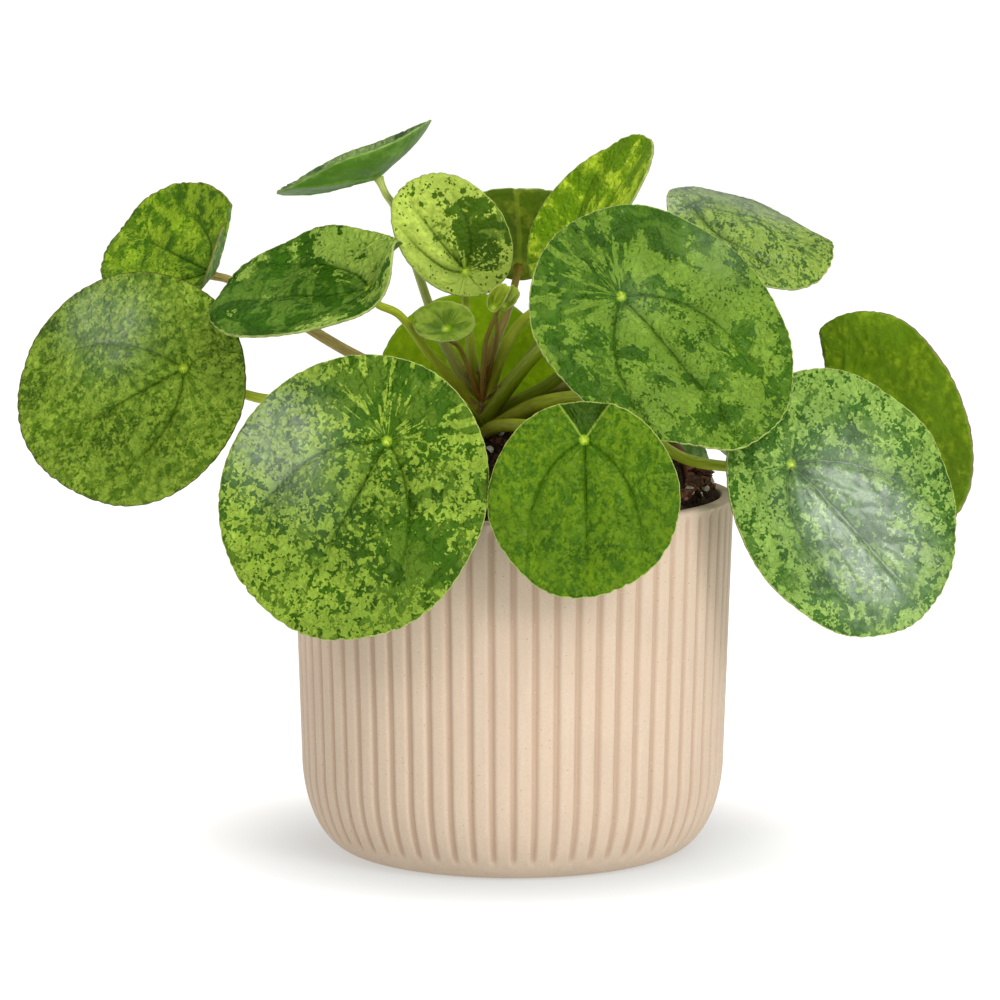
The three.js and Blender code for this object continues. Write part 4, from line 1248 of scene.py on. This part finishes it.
def pottingTop(x, y):  # height of the soil in the nursery pot's own frame
    stemX, stemY = stemInNursery()
    away = math.hypot(x - stemX, y - stemY) / mix["moundSpread"]
    rough = noise.fractal(Vector((x, y, 3)) / 5, 0.7, 2.2, 4)
    return nursery["height"] - mix["belowRim"] + mix["mound"] * math.exp(-away * away) + mix["relief"] * rough


pottingRadius = nursery["rimRadius"] - nursery["bandProud"] - nursery["wall"] - 1.4


def makePottingSoil():
    columns, rows = 200, 44
    rings = [(0.01, 2.0), (nursery["baseRadius"] - 2.2, 2.0)]
    vertices = []
    for radius, height in rings:
        for column in range(columns):
            turn = column * 2 * math.pi / columns
            vertices.append(leaned(radius * math.cos(turn), radius * math.sin(turn), height))
    for row in range(rows):
        radius = pottingRadius * (1 - row / (rows - 1)) + 0.01
        for column in range(columns):
            turn = column * 2 * math.pi / columns
            x, y = radius * math.cos(turn), radius * math.sin(turn)
            vertices.append(leaned(x, y, pottingTop(x, y)))
    faces = gridFaces(rows + 2, columns)
    faces.append(tuple(reversed(range(columns))))
    faces.append(tuple(range(len(vertices) - columns, len(vertices))))
    finishPiece(newPiece("pottingSoil", vertices, faces, [soil]), "soil", "potting_soil")


fillerRadius = cover["rimRadius"] - cover["wall"] - 0.7


def fillerTop(x, y):
    radius = math.hypot(x, y)
    share = min((fillerRadius - radius) / (0.25 * fillerRadius), 1)
    middle, half, high = mix["heap"]
    aside = (math.degrees(math.atan2(y, x)) - middle) / half
    heap = high * math.exp(-aside ** 4) * min(0.35 + (fillerRadius - radius) / 7, 1)
    rough = mix["relief"] * noise.fractal(Vector((x, y, 9)) / 5, 0.7, 2.2, 4)
    return mix["atWall"] + mix["rise"] * share + heap + rough


def nurseryEdge(turn, height):  # where the nursery pot's wall is at a height, and a little outside it
    tilt = math.radians(nursery["lean"])
    own = 80.0
    for _ in range(8):
        radius = nurserySide(min(own, nursery["height"] - nursery["band"])) + 0.5
        own = (height - nursery["base"][2] - radius * math.sin(turn) * math.sin(tilt)) / math.cos(tilt)
    if own > nursery["height"] - nursery["band"] - 0.5:
        radius = nursery["rimRadius"] + 0.5
    x, y, _ = leaned(radius * math.cos(turn), radius * math.sin(turn), own)
    return x, y


def makeFillerSoil():
    columns, across = 240, 14
    lowest, floor = 30, cover["floor"] + 0.6
    ringRows = across + 5
    grid = [[None] * columns for _ in range(ringRows)]
    for column in range(columns):
        turn = column * 2 * math.pi / columns
        outX, outY = fillerRadius * math.cos(turn), fillerRadius * math.sin(turn)
        height = mix["atWall"]
        for _ in range(3):
            inX, inY = nurseryEdge(turn, height)
            if math.hypot(inX, inY) > fillerRadius - 0.6:
                shrink = (fillerRadius - 0.6) / math.hypot(inX, inY)
                inX, inY = inX * shrink, inY * shrink
            height = fillerTop(inX, inY)
        column3 = []
        lowX, lowY = nurseryEdge(turn, lowest)
        column3.append((lowX, lowY, lowest))
        column3.append((*nurseryEdge(turn, 70), 70))
        for index in range(across):
            share = index / (across - 1)
            x, y = inX + (outX - inX) * share, inY + (outY - inY) * share
            column3.append((x, y, fillerTop(x, y)))
        wallX, wallY = outX * 0.985, outY * 0.985
        column3.append((wallX, wallY, 70))
        column3.append((outX * 0.93, outY * 0.93, 24))
        column3.append((outX * 0.66, outY * 0.66, floor))
        for row, place in enumerate(column3):
            grid[row][column] = place
    vertices = [place for row in grid for place in row]
    faces = [face[::-1] for face in gridFaces(ringRows, columns, loop=True)]
    finishPiece(newPiece("fillerSoil", vertices, faces, [soil]), "soil", "filler_soil")


makePottingSoil()
makeFillerSoil()

bits = {
    "chips": dict(onPotting=150, onFiller=80, size=(2.2, 4.4), squash=(1.0, 0.6, 0.32), rounds=2, rough=0.5),
    "perlite": dict(onPotting=46, onFiller=34, size=(1.0, 1.9), squash=(1.0, 0.85, 0.8), rounds=2, rough=0.3),
    "crumbs": dict(onPotting=520, onFiller=260, size=(0.5, 1.3), squash=(1.0, 0.8, 0.7), rounds=1, rough=0.45),
}


def chipSkin():
    material, tree, shader = newMaterial("barkChips", 0.8, 0.3)
    tone = attribute(tree, "tone")
    place = objectPlace(tree)
    fibre = noiseAt(tree, vectors(tree, "MULTIPLY", place, (1, 0.4, 1)), 1.1, 5, 0.7)
    colour = blend(tree, tone, rgb(70, 40, 26), rgb(156, 104, 74))
    colour = blend(tree, step(tree, fibre, 0.4, 0.62), shaded(rgb(70, 40, 26), 0.7), colour)
    tree.links.new(colour, shader.inputs["Base Color"])
    addBump(tree, shader, fibre, 0.6, 0.9)
    return material


def perliteSkin():
    material, tree, shader = newMaterial("perlite", 0.85, 0.3)
    place = objectPlace(tree)
    pitted = node(tree, "TexVoronoi", {"Vector": place, "Scale": 1.6}).outputs["Distance"]
    stain = noiseAt(tree, place, 0.5, 4, 0.6)
    colour = blend(tree, step(tree, stain, 0.42, 0.68), rgb(236, 230, 222), rgb(190, 172, 150))
    tree.links.new(colour, shader.inputs["Base Color"])
    addBump(tree, shader, pitted, 0.4, 0.8)
    return material


def crumbSkin():
    material, tree, shader = newMaterial("soilCrumbs", 0.95, 0.2)
    place = objectPlace(tree)
    grain = noiseAt(tree, place, 1.5, 4, 0.7)
    tone = attribute(tree, "tone")
    colour = blend(tree, tone, rgb(34, 24, 18), rgb(96, 66, 46))
    colour = blend(tree, step(tree, grain, 0.4, 0.65), shaded(rgb(34, 24, 18), 0.7), colour)
    tree.links.new(colour, shader.inputs["Base Color"])
    addBump(tree, shader, grain, 0.4, 0.9)
    return material


def roundLump(rounds):
    ball = bmesh.new()
    bmesh.ops.create_icosphere(ball, subdivisions=rounds, radius=1)
    ball.verts.ensure_lookup_table()
    places = [vertex.co.copy() for vertex in ball.verts]
    faces = [tuple(vertex.index for vertex in face.verts) for face in ball.faces]
    ball.free()
    return places, faces


def pottingSpots(chance, count, size):  # places on the potting soil, clear of its wall and the stem
    spots = []
    stemX, stemY = stemInNursery()
    while len(spots) < count:
        radius = (pottingRadius - size - 0.6) * math.sqrt(chance.random())
        turn = chance.uniform(0, 2 * math.pi)
        x, y = radius * math.cos(turn), radius * math.sin(turn)
        if math.hypot(x - stemX, y - stemY) > stem["radius"] + size * 0.6:
            spots.append(Vector(leaned(x, y, pottingTop(x, y) + size * 0.12)))
    return spots


def fillerSpots(chance, count, size):  # places between the two pots, where they fit
    spots = []
    while len(spots) < count:
        turn = chance.uniform(0, 2 * math.pi)
        outer = fillerRadius - size * 0.9 - 0.4
        inX, inY = nurseryEdge(turn, mix["atWall"] + 3)
        outX, outY = outer * math.cos(turn), outer * math.sin(turn)
        gap = math.hypot(outX - inX, outY - inY)
        if gap < size * 0.9 + 0.5 or math.hypot(inX, inY) > outer:
            continue
        share = chance.uniform(min((size * 0.8 + 0.3) / gap, 1), 1)
        x, y = inX + (outX - inX) * share, inY + (outY - inY) * share
        spots.append(Vector((x, y, fillerTop(x, y) + size * 0.15)))
    return spots


def makeBits(name, seed, skin, smooth):
    kind = bits[name]
    chance = random.Random(seed)
    lump, lumpFaces = roundLump(kind["rounds"])
    for bed, spotsOn in (("onPotting", pottingSpots), ("onFiller", fillerSpots)):
        vertices, faces, tones = [], [], []
        for index in range(kind[bed]):
            size = chance.uniform(*kind["size"])
            spot = spotsOn(chance, 1, size * 0.8)[0]
            turn = Matrix.Rotation(chance.uniform(0, 6.28), 3, "Z") @ Matrix.Rotation(
                chance.gauss(0, 0.5), 3, "X") @ Matrix.Rotation(chance.gauss(0, 0.4), 3, "Y")
            tone = chance.random()
            stretch = Vector(kind["squash"]) * size
            start = len(vertices)
            for place in lump:
                bulge = 1 + kind["rough"] * noise.noise(place * 1.3 + Vector((index * 3.1, seed, 0)))
                bulge += 0.5 * kind["rough"] * noise.noise(place * 3.1 + Vector((0, index * 2.3, seed)))
                local = Vector((place[i] * stretch[i] for i in range(3))) * bulge
                vertices.append(spot + turn @ local)
                tones.append(tone)
            faces += [tuple(start + corner for corner in face) for face in lumpFaces]
        piece = newPiece(name + bed[2:], vertices, faces, [skin], smooth)
        setAttribute(piece.data, "tone", tones)
        finishPiece(piece, "soil")


makeBits("chips", 21, chipSkin(), False)
makeBits("perlite", 22, perliteSkin(), True)
makeBits("crumbs", 23, crumbSkin(), False)
print("potting mix made")

# Floor, light and background

studio = {
    "floor": (158, 168, 171),
    "glow": (1, 0.955, 0.93),  # light that the floor gives off, so that it stays white all round
    # the floor glows less near the pot, which paints a soft shadow round its foot
    "glowAtPot": 0.45,
    "glowFar": 0.97,
    "glowReach": (0.045, 0.13),  # from here to here it grows
    "ambient": 0.32,
    "lights": [  # name, place, size, watts
        ("keyBox", (0.65, -1.15, 0.95), 1.0, 12),
        ("leftBox", (-0.64, -1.12, 0.75), 0.4, 2.6),
        ("rightBox", (0.93, -1.05, 0.53), 0.5, 3.6),
        ("topBox", (0.2, 0.1, 1.3), 0.8, 5),
    ],
}


def makeStudio():
    world = bpy.data.worlds.new("studio")
    bpy.context.scene.world = world
    world.use_nodes = True
    background = world.node_tree.nodes["Background"]
    background.inputs["Color"].default_value = (1, 1, 1, 1)
    background.inputs["Strength"].default_value = studio["ambient"]
    corners = [(-30000, -30000, 0), (30000, -30000, 0), (30000, 30000, 0), (-30000, 30000, 0)]
    material, tree, shader = newMaterial("paperFloor", 0.9, 0.1)
    fibre = noiseAt(tree, objectPlace(tree), 0.3, 3, 0.6)
    colour = blend(tree, fibre, rgb(*studio["floor"]), shaded(rgb(*studio["floor"]), 0.98))
    tree.links.new(colour, shader.inputs["Base Color"])
    shader.inputs["Emission Color"].default_value = (*studio["glow"], 1)
    away = node(tree, "TexCoord").outputs["Object"]
    away = node(tree, "VectorMath", {0: away}, operation="LENGTH").outputs["Value"]
    # dimmer glow near the pot: a painted shadow round its foot
    outOfPaintedShadow = step(tree, away, *studio["glowReach"])
    glow = maths(tree, "MULTIPLY_ADD", outOfPaintedShadow, studio["glowFar"] - studio["glowAtPot"], studio["glowAtPot"])
    tree.links.new(glow, shader.inputs["Emission Strength"])
    newPiece("floor", corners, [(0, 1, 2, 3)], [material])
    for name, place, size, watts in studio["lights"]:
        data = bpy.data.lights.new(name, "AREA")
        data.size, data.energy = size, watts
        light = bpy.data.objects.new(name, data)
        light.location = place
        towards = Vector((0, 0, 0.12)) - Vector(place)
        light.rotation_euler = towards.to_track_quat("-Z", "Y").to_euler()
        bpy.context.scene.collection.objects.link(light)
    bpy.context.scene.view_settings.view_transform = "Standard"


makeStudio()
print("studio made")
